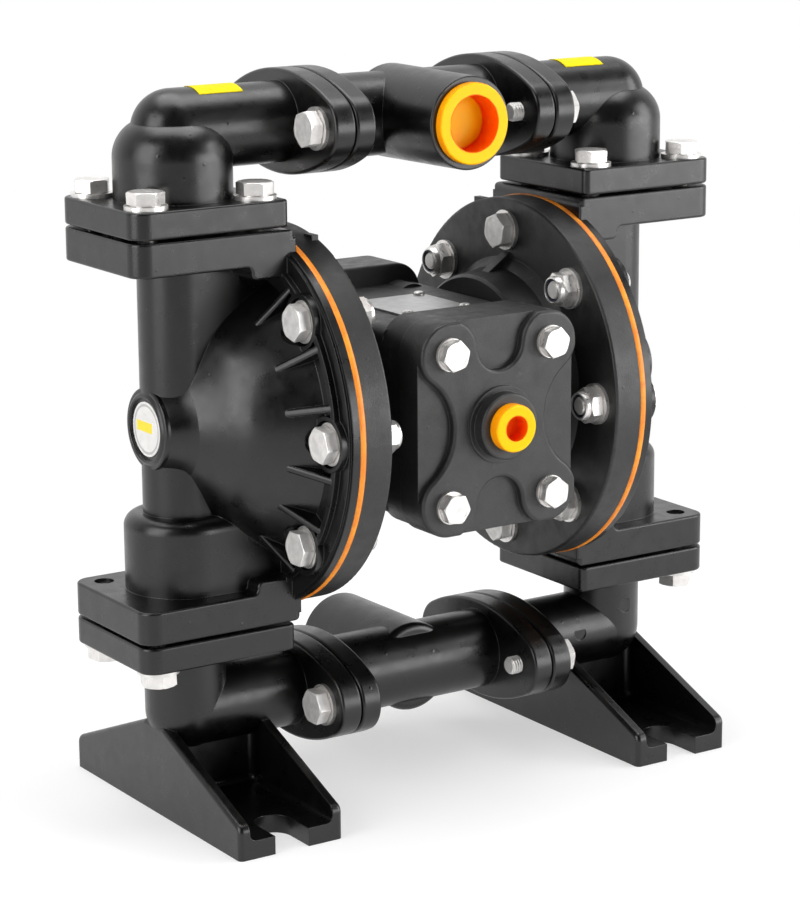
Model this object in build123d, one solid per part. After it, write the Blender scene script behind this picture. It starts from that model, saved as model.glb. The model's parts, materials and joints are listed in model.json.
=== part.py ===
from build123d import *
import math
import os

os.makedirs("parts", exist_ok=True)

# Air operated double diaphragm pump.
# +X runs across the two diaphragms, -Y is the front (air inlet side), +Z is up.
# The floor is z = 0 and the pump is the same on both sides of the YZ plane.
# Every size is in millimetres.

# ---- layout ---------------------------------------------------------------
MID_Z = 159.3            # height of the diaphragm axis
COLUMN_X = 105.4         # distance of each vertical flow column from the middle
MANIFOLD_DROP = 117.2    # manifold axis above and below the diaphragm axis
JOINT_DROP = 79.6        # bolted column joint above and below the diaphragm axis
JOINT_GAP = 1.0          # the seat ring holds the two flanges this far apart
TOP_AXIS_Z = MID_Z + MANIFOLD_DROP
LOW_AXIS_Z = MID_Z - MANIFOLD_DROP
TOP_JOINT_Z = MID_Z + JOINT_DROP
LOW_JOINT_Z = MID_Z - JOINT_DROP

# ---- clearances -----------------------------------------------------------
RUN_GAP = 0.04           # radial running clearance of a sliding piece
SEAT_GAP = 0.03          # gap between pieces that sit still against each other
THREAD_GAP = 0.02        # radial gap at a thread
HOLE_GAP = 0.5           # radial clearance of an M8 clearance hole

# ---- fasteners ------------------------------------------------------------
M8_R = 4.0
M8_AF = 13.0             # across flats
M8_HEAD_H = 5.3
M8_WASHER_R = 8.5
M8_WASHER_H = 1.6
NUT_HEX_H = 5.6
NUT_H = 8.0              # nyloc nut, hexagon and collar
NUT_COLLAR_R = 5.9
QUARTER_R = 3.175        # quarter inch cover screws
QUARTER_AF = 11.1
QUARTER_HEAD_H = 4.0
QUARTER_WASHER_R = 6.6
QUARTER_WASHER_H = 1.2
M8_HOLE_R = M8_R + HOLE_GAP
M8_TAP_R = M8_R + THREAD_GAP

# ---- diaphragm stack, distances from the middle plane ---------------------
RIM_R = 77.0
BEAD_INSET = 0.6         # diaphragm edge inside the rims
DIAPHRAGM_R = RIM_R - BEAD_INSET
RIM_MARGIN = 13.3        # from the bolt circle out to the rim
BOLT_RING_R = RIM_R - RIM_MARGIN
CAVITY_MARGIN = 7.7      # from the bolt circle in to the fluid chamber
AIR_FACE_X = 54.0        # inner face of the air cap rim
DIAPHRAGM_IN_X = 66.6
DIAPHRAGM_OUT_X = 68.6
BOLT_SEAT_X = 73.1       # outer face of the fluid cap rim
CAVITY_R = BOLT_RING_R - CAVITY_MARGIN
STROKE = 7.0             # half of the full diaphragm travel
ROD_R = 8.0
ROD_STUD_R = 5.0
PLATE_R = 31.0
PLATE_IN_H = 6.0
PLATE_OUT_H = 9.0
STUD_INTO_PLATE = 5.5
CONVOLUTION_IN_R = 34.0
CONVOLUTION_SAG = 6.0

# ---- fluid cap ------------------------------------------------------------
CAP_WALL = 4.5
CAVITY_END_X = COLUMN_X - 2.9
DOME_ROOT_INSET = 3.7    # root of the dome inside the bolt circle
BOSS_X = 120.2           # end of the round boss on the dome
BOSS_R = 16.6
LABEL_R = 11.0
LABEL_RECESS_R = 12.4
LABEL_RECESS = 0.6
COLUMN_R = 15.2
PASSAGE_R = 11.5
CHAMBER_OUT_R = 23.0
CHAMBER_R = 19.0
CHAMBER_TOP = 44.8       # shoulder of the ball chamber above its joint
CHAMBER_ROOF = 40.0
RIB_ANGLES = [12.4, 32.6, 57.4, -12.4, -32.6, -57.4]
RIB_T = 3.2

# ---- flanges --------------------------------------------------------------
FLANGE_X_HALF = 34.0
FLANGE_Y_HALF = 31.6
FLANGE_CORNER = 7.0
FLANGE_CORNER_IN = 3.0
CAP_FLANGE_H = 13.5
ELBOW_FLANGE_H = 10.8
FLANGE_BOLT_X = 24.0
FLANGE_BOLT_Y = 22.0
CHIN_X = 88.6            # the cap flange is thicker inside this line
CHIN_H = 18.6
CHIN_ROUND = 2.4
ROLL_R = 4.0             # inner end of the joint face
TAP_DEPTH = 12.3
CAST_EDGE = 1.0

# ---- elbows, feet and tees ------------------------------------------------
DOME_R = 23.5
DOME_ROUND = 15.5
DOME_RISE = 5.2          # dome top above the manifold axis
DOME_TOP_Z = TOP_AXIS_Z + DOME_RISE
ELBOW_CHAMBER_R = 19.5
ELBOW_ROOF = 29.0        # flat part of the upper ball chamber above its joint
TUBE_R = 16.2
TUBE_BORE_R = 12.0
OVAL_OUT_X = 57.3
OVAL_FACE_X = 47.9
TEE_FACE_X = 47.5
TEE_FLANGE_X = 38.5
OVAL_MID_R = 21.0
OVAL_END_R = 13.5
OVAL_EDGE = 1.2
OVAL_BOLT_Y = 30.0
RISER_R = 16.5
FOOT_IN_X = 73.7
FOOT_OUT_X = 120.7
FOOT_Y = 68.5
FOOT_FLOOR = 7.5
FOOT_WALL = 4.6
FOOT_EDGE = 2.0
FOOT_NOSE_R = 4.0
FOOT_CREST_R = 3.0
TROUGH_ROUND = 3.0
CROSS_WALL_Y = 7.0       # half of the wall between the two troughs
MARK_R = 3.1
MARK_DEPTH = 0.5
MARK_RISER_Z = 53.5
MARK_TUBE_X = 82.3
FOOT_END_H = 13.5
FOOT_TOP_H = 37.5
FOOT_TOP_Y = 8.0
SLOT_X = 97.1
SLOT_R = 7.65
SLOT_END_Y = 54.2
TEE_R = 17.0
PORT_R = 18.6
PORT_BASE_R = 19.2       # the boss is drafted towards its face
PORT_BACK_ROUND = 3.0
PORT_FACE_Y = 51.0
PORT_BACK_Y = 9.0
PORT_THREAD_R = 13.22    # three quarter inch pipe thread
PORT_THREAD_END = 24.5
PORT_ENTRY_R = 14.0
PORT_ENTRY = 8.5         # depth of the plain entry in front of the thread

# ---- check valves ---------------------------------------------------------
BALL_R = 13.5
BALL_LIFT = 7.0
SEAT_BORE_R = 8.5
SEAT_R = 20.5
SEAT_DOWN = 4.0          # seat ring below the joint
SEAT_UP = 3.5            # seat ring above the joint
GUIDE_GAP = 0.7          # play between the ball and its guide ribs
GUIDE_T = 3.0
STOP_R = 8.0             # inner end of the stop ledges
RING_WIRE_R = 1.2

# ---- centre body ----------------------------------------------------------
BODY_X = 36.0
BODY_HALF_H = 42.6
BODY_CORNER = 12.5
FRONT_FLANGE_Y = -55.0
FRONT_FLANGE_BACK_Y = -41.0
REAR_BLOCK_Y = 39.0
REAR_FACE_Y = 66.0
REAR_HALF_H = 47.0
WAIST_HALF_H = 38.2
HUB_BASE_R = BOLT_RING_R - 15.7
HUB_R = HUB_BASE_R - 2.5    # air cap hub against the body
HUB_SPIGOT_R = 16.0
HUB_FLOOR_X = 40.5
BUSH_R = 11.0
BUSH_X = 22.0
PILOT_DROP = 26.0        # pilot rod above the diaphragm axis
PILOT_R = 3.0
PILOT_TRAVEL = 3.0
PILOT_HALF = 56.5
SPOOL_Y = -31.0
SPOOL_R = 7.0
SPOOL_HALF = 29.0
SPOOL_NECK_R = 4.6
SLEEVE_R = 11.0
SLEEVE_HALF = 35.8
EXHAUST_R = 4.0
EXHAUST_DROP = 20.0

# ---- valve cover ----------------------------------------------------------
GASKET_H = 1.0
COVER_BACK_Y = FRONT_FLANGE_Y - GASKET_H
COVER_LOBE_Y = -72.0
COVER_PANEL_Y = -68.6
COVER_HALF_W = 37.2
COVER_HALF_H = 43.1
COVER_CORNER = 13.0
COVER_TAP_DEPTH = 11.0
COVER_LOBE_R = 13.4      # round each bolt
SIDE_WAIST_X = 22.0      # nearest point of the side panels to the middle
END_WAIST_Z = 21.8       # nearest point of the end panels
RELIEF_ROUND = 1.4
COVER_BOLT_X = 24.1
COVER_BOLT_Z = 30.7
AIR_BOSS_R = 13.4
AIR_BOSS_Y = -78.6
AIR_THREAD_R = 6.58      # quarter inch pipe thread
AIR_ENTRY_R = 7.4
AIR_ENTRY = 4.0
AIR_THREAD_DEPTH = 12.0

# ---- plugs, muffler, plates -----------------------------------------------
PLUG_HEAD_R = 16.2
PLUG_HEAD_H = 3.3
PLUG_RECESS_R = 11.2
PLUG_RECESS = 10.0
AIR_PLUG_HEAD_R = 9.6
AIR_PLUG_HEAD_H = 4.6
AIR_PLUG_RECESS_R = 5.0
MUFFLER_END_Y = AIR_PLUG_HEAD_H - AIR_BOSS_Y
MUFFLER_R = 14.0
MUFFLER_HEX = 24.0
MUFFLER_THREAD_R = 8.3
PLATE_W = 34.0
PLATE_D = 40.0
PLATE_Y = -30.0          # front edge of the plate
PLATE_T = 0.8
STICKER_L = 19.5
STICKER_IN = 27.4        # its inner end, from the column axis
STICKER_FRONT_Y = -8.5
STICKER_BACK_Y = 3.5
LABEL_T = 0.4


def x_cylinder(radius, x0, x1, y=0.0, z=MID_Z):
    length = x1 - x0
    return Pos(x0 + length / 2, y, z) * Rot(0, 90, 0) * Cylinder(radius, length)


def y_cylinder(radius, y0, y1, x=0.0, z=MID_Z):
    length = y1 - y0
    return Pos(x, y0 + length / 2, z) * Rot(90, 0, 0) * Cylinder(radius, length)


def z_cylinder(radius, z0, z1, x=0.0, y=0.0):
    length = z1 - z0
    return Pos(x, y, z0 + length / 2) * Cylinder(radius, length)


def block(x0, x1, y0, y1, z0, z1):
    centre = Pos((x0 + x1) / 2, (y0 + y1) / 2, (z0 + z1) / 2)
    return centre * Box(x1 - x0, y1 - y0, z1 - z0)


def turned(points, z=MID_Z):
    """A solid turned about the X axis at height z from (x, radius) points."""
    face = make_face(Polyline(*[(p[0], p[1]) for p in points], close=True))
    return Pos(0, 0, z) * revolve(face, Axis.X, 360)


def bolt_ring(count_from, count_to, step=45.0):
    """Bolt positions (y, z) on the rim; 0 degrees faces the front."""
    spots = []
    for index in range(count_from, count_to):
        angle = math.radians(index * step)
        spots.append((-BOLT_RING_R * math.cos(angle), MID_Z + BOLT_RING_R * math.sin(angle)))
    return spots


ALL_SPOTS = bolt_ring(0, 8)
REVERSED_SPOTS = [ALL_SPOTS[2], ALL_SPOTS[6]]
THROUGH_SPOTS = [ALL_SPOTS[i] for i in (0, 1, 3, 4, 5, 7)]


def one(shape):
    """The single solid of a result."""
    solids = shape.solids()
    if len(solids) != 1:
        raise ValueError("expected one solid, got " + str(len(solids)))
    return solids[0]


def mirrored(shape):
    return mirror(shape, about=Plane.YZ)


def flange_bolt_spots(x_centre):
    spots = []
    for dx in (-FLANGE_BOLT_X, FLANGE_BOLT_X):
        for dy in (-FLANGE_BOLT_Y, FLANGE_BOLT_Y):
            spots.append((x_centre + dx, dy))
    return spots


def outer_bolt_spots(x_centre):
    return [(x, y) for x, y in flange_bolt_spots(x_centre) if x > x_centre]


def column_flange(x_in, z0, z1):
    """Rectangular flange with large outer and small inner corners."""
    x_out = COLUMN_X + FLANGE_X_HALF
    plate = block(x_in, x_out, -FLANGE_Y_HALF, FLANGE_Y_HALF, z0, z1)
    uprights = plate.edges().filter_by(Axis.Z)
    plate = fillet(uprights.group_by(Axis.X)[-1], FLANGE_CORNER)
    uprights = plate.edges().filter_by(Axis.Z)
    plate = fillet(uprights.group_by(Axis.X)[0], FLANGE_CORNER_IN)
    plate = fillet(plate.faces().sort_by(Axis.Z)[-1].edges(), CAST_EDGE)
    plate = fillet(plate.faces().sort_by(Axis.Z)[0].edges(), CAST_EDGE)
    return plate


def flange_chin(z_face, turn):
    """Thicker inner end of a cap flange, with a rounded step down to the rest."""
    low = z_face + turn * 3.0
    mid = z_face + turn * CAP_FLANGE_H
    high = z_face + turn * CHIN_H
    side = Polygon((DIAPHRAGM_OUT_X, low), (CHIN_X + 4.0, low), (CHIN_X + 4.0, mid), (CHIN_X, mid),
                   (CHIN_X, high), (DIAPHRAGM_OUT_X, high), align=None)
    step = [v for v in side.vertices() if abs(v.X - CHIN_X) < 0.01]
    side = fillet(step, CHIN_ROUND)
    chin = extrude(Plane.XZ * side, FLANGE_Y_HALF, both=True)
    ends = chin.faces().filter_by(Axis.Y)
    chin = fillet(ends[0].edges() + ends[-1].edges(), CAST_EDGE)
    return chin


def guide_ribs(joint_z, chamber_r, z0, z1):
    """Four ribs that guide the ball and stop it at full lift."""
    ball_z = joint_z + ball_height()
    ledge_z = ball_z + BALL_LIFT + math.sqrt(BALL_R ** 2 - STOP_R ** 2) + 0.1
    guide_r = BALL_R + GUIDE_GAP
    ribs = []
    for angle in (45, 135, 225, 315):
        guide = Pos((guide_r + chamber_r + 1) / 2, 0, (z0 + z1) / 2)
        guide = guide * Box(chamber_r + 1 - guide_r, GUIDE_T, z1 - z0)
        ledge = Pos((STOP_R + chamber_r + 1) / 2, 0, (ledge_z + z1) / 2)
        ledge = ledge * Box(chamber_r + 1 - STOP_R, GUIDE_T, z1 - ledge_z)
        ribs.append(Pos(COLUMN_X, 0, 0) * Rot(0, 0, angle) * (guide + ledge))
    return ribs


def ball_height():
    """Height of the ball centre above the joint plane when it is seated.

    The seat is a 45 degree cone that starts at the bore on the joint plane.
    """
    touch_r = BALL_R * math.sin(math.radians(45))
    cone_z = touch_r - SEAT_BORE_R
    return cone_z + BALL_R * math.cos(math.radians(45)) + SEAT_GAP


# ---- fluid cap: dome, ribs, ball chamber and both column flanges ----------
def dome_radius(share):
    """Radius between the boss, at share 0, and the root of the dome, at share 1."""
    root_r = BOLT_RING_R - DOME_ROOT_INSET
    return BOSS_R + share * (root_r - BOSS_R)


def dome_profile():
    """Outer outline of the dome as (x, radius), from the rim to the boss."""
    return [
        (BOLT_SEAT_X - 1.0, dome_radius(1.0)),
        (76.0, dome_radius(0.935)),
        (85.0, dome_radius(0.797)),
        (92.2, dome_radius(0.673)),
        (98.0, dome_radius(0.539)),
        (102.6, dome_radius(0.369)),
        (106.7, dome_radius(0.217)),
        (111.0, dome_radius(0.088)),
        (115.5, BOSS_R),
    ]


def dome_solid():
    outline = dome_profile()
    first = outline[0]
    last = outline[-1]
    curve = Spline(*outline)
    inner = Line((first[0], 0), first)
    run = Line(last, (BOSS_X, BOSS_R))
    end = Line((BOSS_X, BOSS_R), (BOSS_X, 0))
    back = Line((BOSS_X, 0), (first[0], 0))
    face = make_face([inner, curve, run, end, back])
    dome = revolve(face, Axis.X, 360)
    dome = fillet(dome.edges().filter_by(GeomType.CIRCLE).sort_by(Axis.X)[-1], 1.2)
    return Pos(0, 0, MID_Z) * dome


def cavity_solid():
    """Fluid chamber behind the diaphragm, a wall inside the dome."""
    curve = Spline(
        (DIAPHRAGM_OUT_X, CAVITY_R),
        (76.0, dome_radius(0.935) - CAP_WALL - 1.0),
        (85.0, dome_radius(0.797) - CAP_WALL - 1.0),
        (92.2, dome_radius(0.673) - CAP_WALL - 2.0),
        (97.5, dome_radius(0.378)),
        (101.0, dome_radius(0.078)),
        (CAVITY_END_X, 0.0),
    )
    front = Line((DIAPHRAGM_OUT_X - 1.0, CAVITY_R), (DIAPHRAGM_OUT_X, CAVITY_R))
    close = Line((DIAPHRAGM_OUT_X - 1.0, 0), (DIAPHRAGM_OUT_X - 1.0, CAVITY_R))
    base = Line((CAVITY_END_X, 0), (DIAPHRAGM_OUT_X - 1.0, 0))
    face = make_face([close, front, curve, base])
    return Pos(0, 0, MID_Z) * revolve(face, Axis.X, 360)


def gusset_rib(angle):
    """Thin radial rib between the rim ring and the dome."""
    with BuildSketch(Plane.XY) as outline:
        Polygon((BOLT_SEAT_X - 0.5, BOLT_RING_R - 15.7), (BOLT_SEAT_X - 0.5, BOLT_RING_R + 4.3),
                (BOLT_SEAT_X + 2.5, BOLT_RING_R + 4.3), (90.0, BOLT_RING_R - 20.2),
                (84.0, BOLT_RING_R - 20.2), align=None)
    rib = extrude(outline.sketch, RIB_T / 2, both=True)
    rib = fillet(rib.edges().filter_by(lambda e: is_rib_crest(e)), 1.2)
    # the sketch radius points along +Y, so turn it towards the front first
    return Pos(0, 0, MID_Z) * Rot(180 - angle, 0, 0) * rib


def is_rib_crest(edge):
    middle = edge @ 0.5
    long_enough = edge.length > 20
    return long_enough and abs(abs(middle.Z) - RIB_T / 2) < 0.01 and middle.Y > BOLT_RING_R - 12.0


def fluid_cap():
    z_low_face = LOW_JOINT_Z + JOINT_GAP / 2
    z_top_face = TOP_JOINT_Z - JOINT_GAP / 2
    body = x_cylinder(RIM_R, DIAPHRAGM_OUT_X, BOLT_SEAT_X - 1.0)
    body = body + x_cylinder(RIM_R - 1.6, BOLT_SEAT_X - 1.0, BOLT_SEAT_X)
    ring = x_cylinder(BOLT_RING_R + 5.9, BOLT_SEAT_X - 0.5, BOLT_SEAT_X + 2.5)
    ring = ring - x_cylinder(BOLT_RING_R + 3.1, BOLT_SEAT_X - 1.0, BOLT_SEAT_X + 3.0)
    body = body + ring
    body = body + dome_solid()
    for angle in RIB_ANGLES:
        body = body + gusset_rib(angle)
        body = body + gusset_rib(180 - angle)
    for y, z in THROUGH_SPOTS:
        body = body + x_cylinder(M8_WASHER_R + 2.6, BOLT_SEAT_X - 1.0, 75.9, y, z)
    # tube above and below the dome with flat webs back to the rim
    body = body + z_cylinder(COLUMN_R, LOW_JOINT_Z + CHAMBER_TOP - 6.0, z_top_face - 5.0, COLUMN_X)
    body = body + block(DIAPHRAGM_OUT_X + 3.0, COLUMN_X, -COLUMN_R, COLUMN_R,
                        LOW_JOINT_Z + CHAMBER_TOP - 6.0, z_top_face - 5.0)
    # ball chamber with a rounded shoulder, drawn out to the rim
    shoulder_z = LOW_JOINT_Z + CHAMBER_TOP
    chamber = z_cylinder(CHAMBER_OUT_R, z_low_face + 3.0, shoulder_z, COLUMN_X)
    chamber = chamber + block(DIAPHRAGM_OUT_X + 1.5, COLUMN_X, -CHAMBER_OUT_R, CHAMBER_OUT_R,
                              z_low_face + 3.0, shoulder_z)
    crown = chamber.faces().sort_by(Axis.Z)[-1].edges()
    crown = [e for e in crown if (e @ 0.5).X > DIAPHRAGM_OUT_X + 2.0]
    chamber = fillet(crown, 5.5)
    body = body + chamber
    # column flanges with their thicker inner ends
    body = body + column_flange(DIAPHRAGM_OUT_X, z_low_face, z_low_face + CAP_FLANGE_H)
    body = body + column_flange(DIAPHRAGM_OUT_X, z_top_face - CAP_FLANGE_H, z_top_face)
    body = body + flange_chin(z_low_face, 1)
    body = body + flange_chin(z_top_face, -1)
    body = body - block(0, DIAPHRAGM_OUT_X, -RIM_R - 10, RIM_R + 10, 0, DOME_TOP_Z + 20)
    # flow passages
    roof_z = LOW_JOINT_Z + CHAMBER_ROOF
    hollow = z_cylinder(CHAMBER_R, z_low_face - 1.0, roof_z, COLUMN_X)
    hollow = fillet(hollow.faces().sort_by(Axis.Z)[-1].edges(), 4.0)
    body = body - hollow
    body = body - z_cylinder(PASSAGE_R, roof_z - 1.0, z_top_face + 1.0, COLUMN_X)
    body = body - cavity_solid()
    body = body - z_cylinder(SEAT_R + SEAT_GAP, z_low_face - 1.0, LOW_JOINT_Z + SEAT_UP + SEAT_GAP, COLUMN_X)
    body = body - z_cylinder(SEAT_R + SEAT_GAP, TOP_JOINT_Z - SEAT_DOWN - SEAT_GAP, z_top_face + 1.0,
                             COLUMN_X)
    ribs = guide_ribs(LOW_JOINT_Z, CHAMBER_R, LOW_JOINT_Z + SEAT_UP + 1.0, roof_z)
    for rib in ribs:
        body = body + rib
    # bolt holes
    for y, z in THROUGH_SPOTS:
        body = body - x_cylinder(M8_HOLE_R, DIAPHRAGM_OUT_X - 1.0, 80.0, y, z)
        body = body - x_cylinder(M8_WASHER_R + 0.9, BOLT_SEAT_X, 80.0, y, z)
    for y, z in REVERSED_SPOTS:
        body = body - x_cylinder(M8_TAP_R, DIAPHRAGM_OUT_X - 1.0, 82.0, y, z)
    for x, y in flange_bolt_spots(COLUMN_X):
        body = body - z_cylinder(M8_TAP_R, z_top_face - TAP_DEPTH, z_top_face + 1.0, x, y)
    for x, y in outer_bolt_spots(COLUMN_X):
        # one of the lower holes runs right through the flange
        depth = CAP_FLANGE_H + 1.0 if y < 0 else TAP_DEPTH
        body = body - z_cylinder(M8_TAP_R, z_low_face - 1.0, z_low_face + depth, x, y)
    # the inner end of each joint face rolls over towards the rim
    for z_face, turn in ((z_low_face, 1), (z_top_face, -1)):
        z_in = z_face + turn * ROLL_R
        corner = block(DIAPHRAGM_OUT_X - 1.0, DIAPHRAGM_OUT_X + ROLL_R, -40, 40,
                       min(z_face - turn, z_in), max(z_face - turn, z_in))
        corner = corner - y_cylinder(ROLL_R, -41, 41, DIAPHRAGM_OUT_X + ROLL_R, z_in)
        body = body - corner
    # shallow round recess for the label
    body = body - x_cylinder(LABEL_RECESS_R, BOSS_X - LABEL_RECESS, BOSS_X + 1.0)
    return one(body)


# ---- air cap and diaphragm ------------------------------------------------
def air_cap():
    profile = [
        (AIR_FACE_X, RIM_R),
        (AIR_FACE_X, HUB_BASE_R + 4.0),
        (50.0, HUB_BASE_R),
        (BODY_X + 1.2, HUB_R + 0.4),
        (BODY_X, HUB_R - 0.8),
        (BODY_X, HUB_SPIGOT_R + SEAT_GAP),
        (HUB_FLOOR_X, HUB_SPIGOT_R + SEAT_GAP),
        (HUB_FLOOR_X, HUB_BASE_R - 10.0),
        (50.0, HUB_BASE_R - 5.0),
        (57.0, HUB_BASE_R + 2.0),
        (DIAPHRAGM_IN_X, CAVITY_R),
        (DIAPHRAGM_IN_X, RIM_R),
    ]
    cap = turned(profile)
    rim = [e for e in cap.edges().filter_by(GeomType.CIRCLE) if abs(e.radius - RIM_R) < 0.01]
    cap = fillet(rim[0], 1.2)
    for angle in (90, 270):
        with BuildSketch(Plane.XY) as outline:
            Polygon((BODY_X + 5.0, HUB_BASE_R - 4.0), (BODY_X + 5.0, HUB_R),
                    (AIR_FACE_X + 0.5, HUB_BASE_R + 6.8), (AIR_FACE_X + 0.5, HUB_BASE_R + 2.0),
                    (BODY_X + 12.0, HUB_BASE_R - 4.0), align=None)
        web = extrude(outline.sketch, 2.5, both=True)
        cap = cap + Pos(0, 0, MID_Z) * Rot(angle, 0, 0) * web
    # small casting tab on top of the rim
    tab = block(AIR_FACE_X + 1.0, AIR_FACE_X + 4.0, 19.5, 25.5, MID_Z + RIM_R - 8.0, MID_Z + RIM_R - 2.2)
    cap = cap + tab
    for y, z in ALL_SPOTS:
        cap = cap - x_cylinder(M8_HOLE_R, AIR_FACE_X - 5.0, DIAPHRAGM_IN_X + 1.0, y, z)
    for y, z in air_screw_spots():
        cap = cap - x_cylinder(3.3, BODY_X - 1.0, HUB_FLOOR_X + 1.0, y, z)
    for side in (-1, 1):
        cap = cap - x_cylinder(PILOT_R + 1.2, BODY_X - 1.0, HUB_FLOOR_X + 1.0, 0, MID_Z + PILOT_DROP)
    return one(cap)


def air_screw_spots():
    spots = []
    for angle in (45, 135, 225, 315):
        turn = math.radians(angle)
        spots.append((26.0 * math.cos(turn), MID_Z + 26.0 * math.sin(turn)))
    return spots


def diaphragm():
    """Flat clamped rim, one convolution bulging to the air side, flat centre."""
    half_t = (DIAPHRAGM_OUT_X - DIAPHRAGM_IN_X) / 2
    mid_x = DIAPHRAGM_IN_X + half_t
    r_out = CAVITY_R - 1.5
    r_in = CONVOLUTION_IN_R
    r_mid = (r_out + r_in) / 2
    out_path = ThreePointArc((DIAPHRAGM_OUT_X, r_out - 2.0), (DIAPHRAGM_OUT_X - CONVOLUTION_SAG, r_mid),
                             (DIAPHRAGM_OUT_X, r_in + 2.0))
    in_path = ThreePointArc((DIAPHRAGM_IN_X, r_in), (DIAPHRAGM_IN_X - CONVOLUTION_SAG, r_mid),
                            (DIAPHRAGM_IN_X, r_out))
    lines = [
        out_path,
        Line((DIAPHRAGM_OUT_X, r_in + 2.0), (DIAPHRAGM_OUT_X, ROD_STUD_R + SEAT_GAP)),
        Line((DIAPHRAGM_OUT_X, ROD_STUD_R + SEAT_GAP), (DIAPHRAGM_IN_X, ROD_STUD_R + SEAT_GAP)),
        Line((DIAPHRAGM_IN_X, ROD_STUD_R + SEAT_GAP), (DIAPHRAGM_IN_X, r_in)),
        in_path,
        Line((DIAPHRAGM_IN_X, r_out), (DIAPHRAGM_IN_X, DIAPHRAGM_R)),
        Line((DIAPHRAGM_IN_X, DIAPHRAGM_R), (DIAPHRAGM_OUT_X, DIAPHRAGM_R)),
        Line((DIAPHRAGM_OUT_X, DIAPHRAGM_R), (DIAPHRAGM_OUT_X, r_out - 2.0)),
    ]
    face = make_face(lines)
    skin = Pos(0, 0, MID_Z) * revolve(face, Axis.X, 360)
    for y, z in ALL_SPOTS:
        skin = skin - x_cylinder(M8_HOLE_R, mid_x - 3.0, mid_x + 3.0, y, z)
    return one(skin)


def inner_plate():
    plate = x_cylinder(PLATE_R, DIAPHRAGM_IN_X - PLATE_IN_H, DIAPHRAGM_IN_X)
    plate = fillet(plate.edges().filter_by(GeomType.CIRCLE).sort_by(Axis.X)[-1], 2.0)
    plate = fillet(plate.edges().filter_by(GeomType.CIRCLE).sort_by(Axis.X)[0], 1.5)
    plate = plate - x_cylinder(ROD_STUD_R + SEAT_GAP, 40.0, 80.0)
    return one(plate)


def outer_plate():
    plate = x_cylinder(PLATE_R, DIAPHRAGM_OUT_X, DIAPHRAGM_OUT_X + PLATE_OUT_H)
    plate = fillet(plate.edges().filter_by(GeomType.CIRCLE).sort_by(Axis.X)[-1], 5.0)
    plate = fillet(plate.edges().filter_by(GeomType.CIRCLE).sort_by(Axis.X)[0], 2.0)
    plate = plate - x_cylinder(ROD_STUD_R + SEAT_GAP, DIAPHRAGM_OUT_X - 1.0,
                               DIAPHRAGM_OUT_X + STUD_INTO_PLATE + SEAT_GAP)
    return one(plate)


def connecting_rod():
    shoulder = DIAPHRAGM_IN_X - PLATE_IN_H
    tip = DIAPHRAGM_OUT_X + STUD_INTO_PLATE
    rod = x_cylinder(ROD_R, -shoulder, shoulder)
    rod = rod + x_cylinder(ROD_STUD_R, -tip, tip)
    return one(rod)


# ---- elbows, feet, tees ---------------------------------------------------
def oval_flange(x0, x1, z):
    """Two-bolt flange: two flat arcs that run tangent into round ends."""
    rise = OVAL_MID_R - OVAL_END_R
    side_r = (OVAL_BOLT_Y ** 2 + OVAL_MID_R ** 2 - OVAL_END_R ** 2) / (2 * rise)
    drop = side_r - OVAL_MID_R
    touch = OVAL_BOLT_Y * side_r / (side_r - OVAL_END_R)
    lens = Pos(0, -drop) * Circle(side_r) & Pos(0, drop) * Circle(side_r)
    outline = lens & Rectangle(2 * touch, 3 * OVAL_MID_R)
    for side in (-1, 1):
        outline = outline + Pos(side * OVAL_BOLT_Y, 0) * Circle(OVAL_END_R)
    flange = extrude(outline, x1 - x0)
    ends = flange.faces().filter_by(Axis.Z)
    for end in ends:
        flange = fillet(flange.faces().filter_by(Axis.Z).sort_by_distance(end.center())[0].edges(), OVAL_EDGE)
    # the long way of the sketch lies along Y, its thickness along X
    return Plane(origin=(x0, 0, z), x_dir=(0, 1, 0), z_dir=(1, 0, 0)).location * flange


def outlet_elbow():
    z_face = TOP_JOINT_Z + JOINT_GAP / 2
    z_seat = z_face + ELBOW_FLANGE_H
    body = column_flange(COLUMN_X - FLANGE_X_HALF, z_face, z_seat)
    dome = z_cylinder(DOME_R, z_face + 3.0, DOME_TOP_Z, COLUMN_X)
    dome = fillet(dome.faces().sort_by(Axis.Z)[-1].edges(), DOME_ROUND)
    body = body + dome
    body = body + Pos(COLUMN_X, 0, TOP_AXIS_Z) * Sphere(TUBE_R)
    body = body + x_cylinder(TUBE_R, OVAL_FACE_X + 3.0, COLUMN_X, 0, TOP_AXIS_Z)
    body = body + oval_flange(OVAL_FACE_X, OVAL_OUT_X, TOP_AXIS_Z)
    roof_z = TOP_JOINT_Z + ELBOW_ROOF + 8.0
    hollow = z_cylinder(ELBOW_CHAMBER_R, z_face - 1.0, roof_z, COLUMN_X)
    hollow = fillet(hollow.faces().sort_by(Axis.Z)[-1].edges(), 11.0)
    body = body - hollow
    body = body - Pos(COLUMN_X, 0, TOP_AXIS_Z) * Sphere(TUBE_BORE_R)
    body = body - x_cylinder(TUBE_BORE_R, OVAL_FACE_X - 1.0, COLUMN_X, 0, TOP_AXIS_Z)
    body = body - z_cylinder(SEAT_R + SEAT_GAP, z_face - 1.0, TOP_JOINT_Z + SEAT_UP + SEAT_GAP, COLUMN_X)
    for rib in guide_ribs(TOP_JOINT_Z, ELBOW_CHAMBER_R, TOP_JOINT_Z + SEAT_UP + 1.0, TOP_JOINT_Z + 33.0):
        body = body + rib
    for x, y in flange_bolt_spots(COLUMN_X):
        body = body - z_cylinder(M8_HOLE_R, z_face - 1.0, z_seat + 1.0, x, y)
    return one(oval_machining(body, TOP_AXIS_Z))


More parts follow.
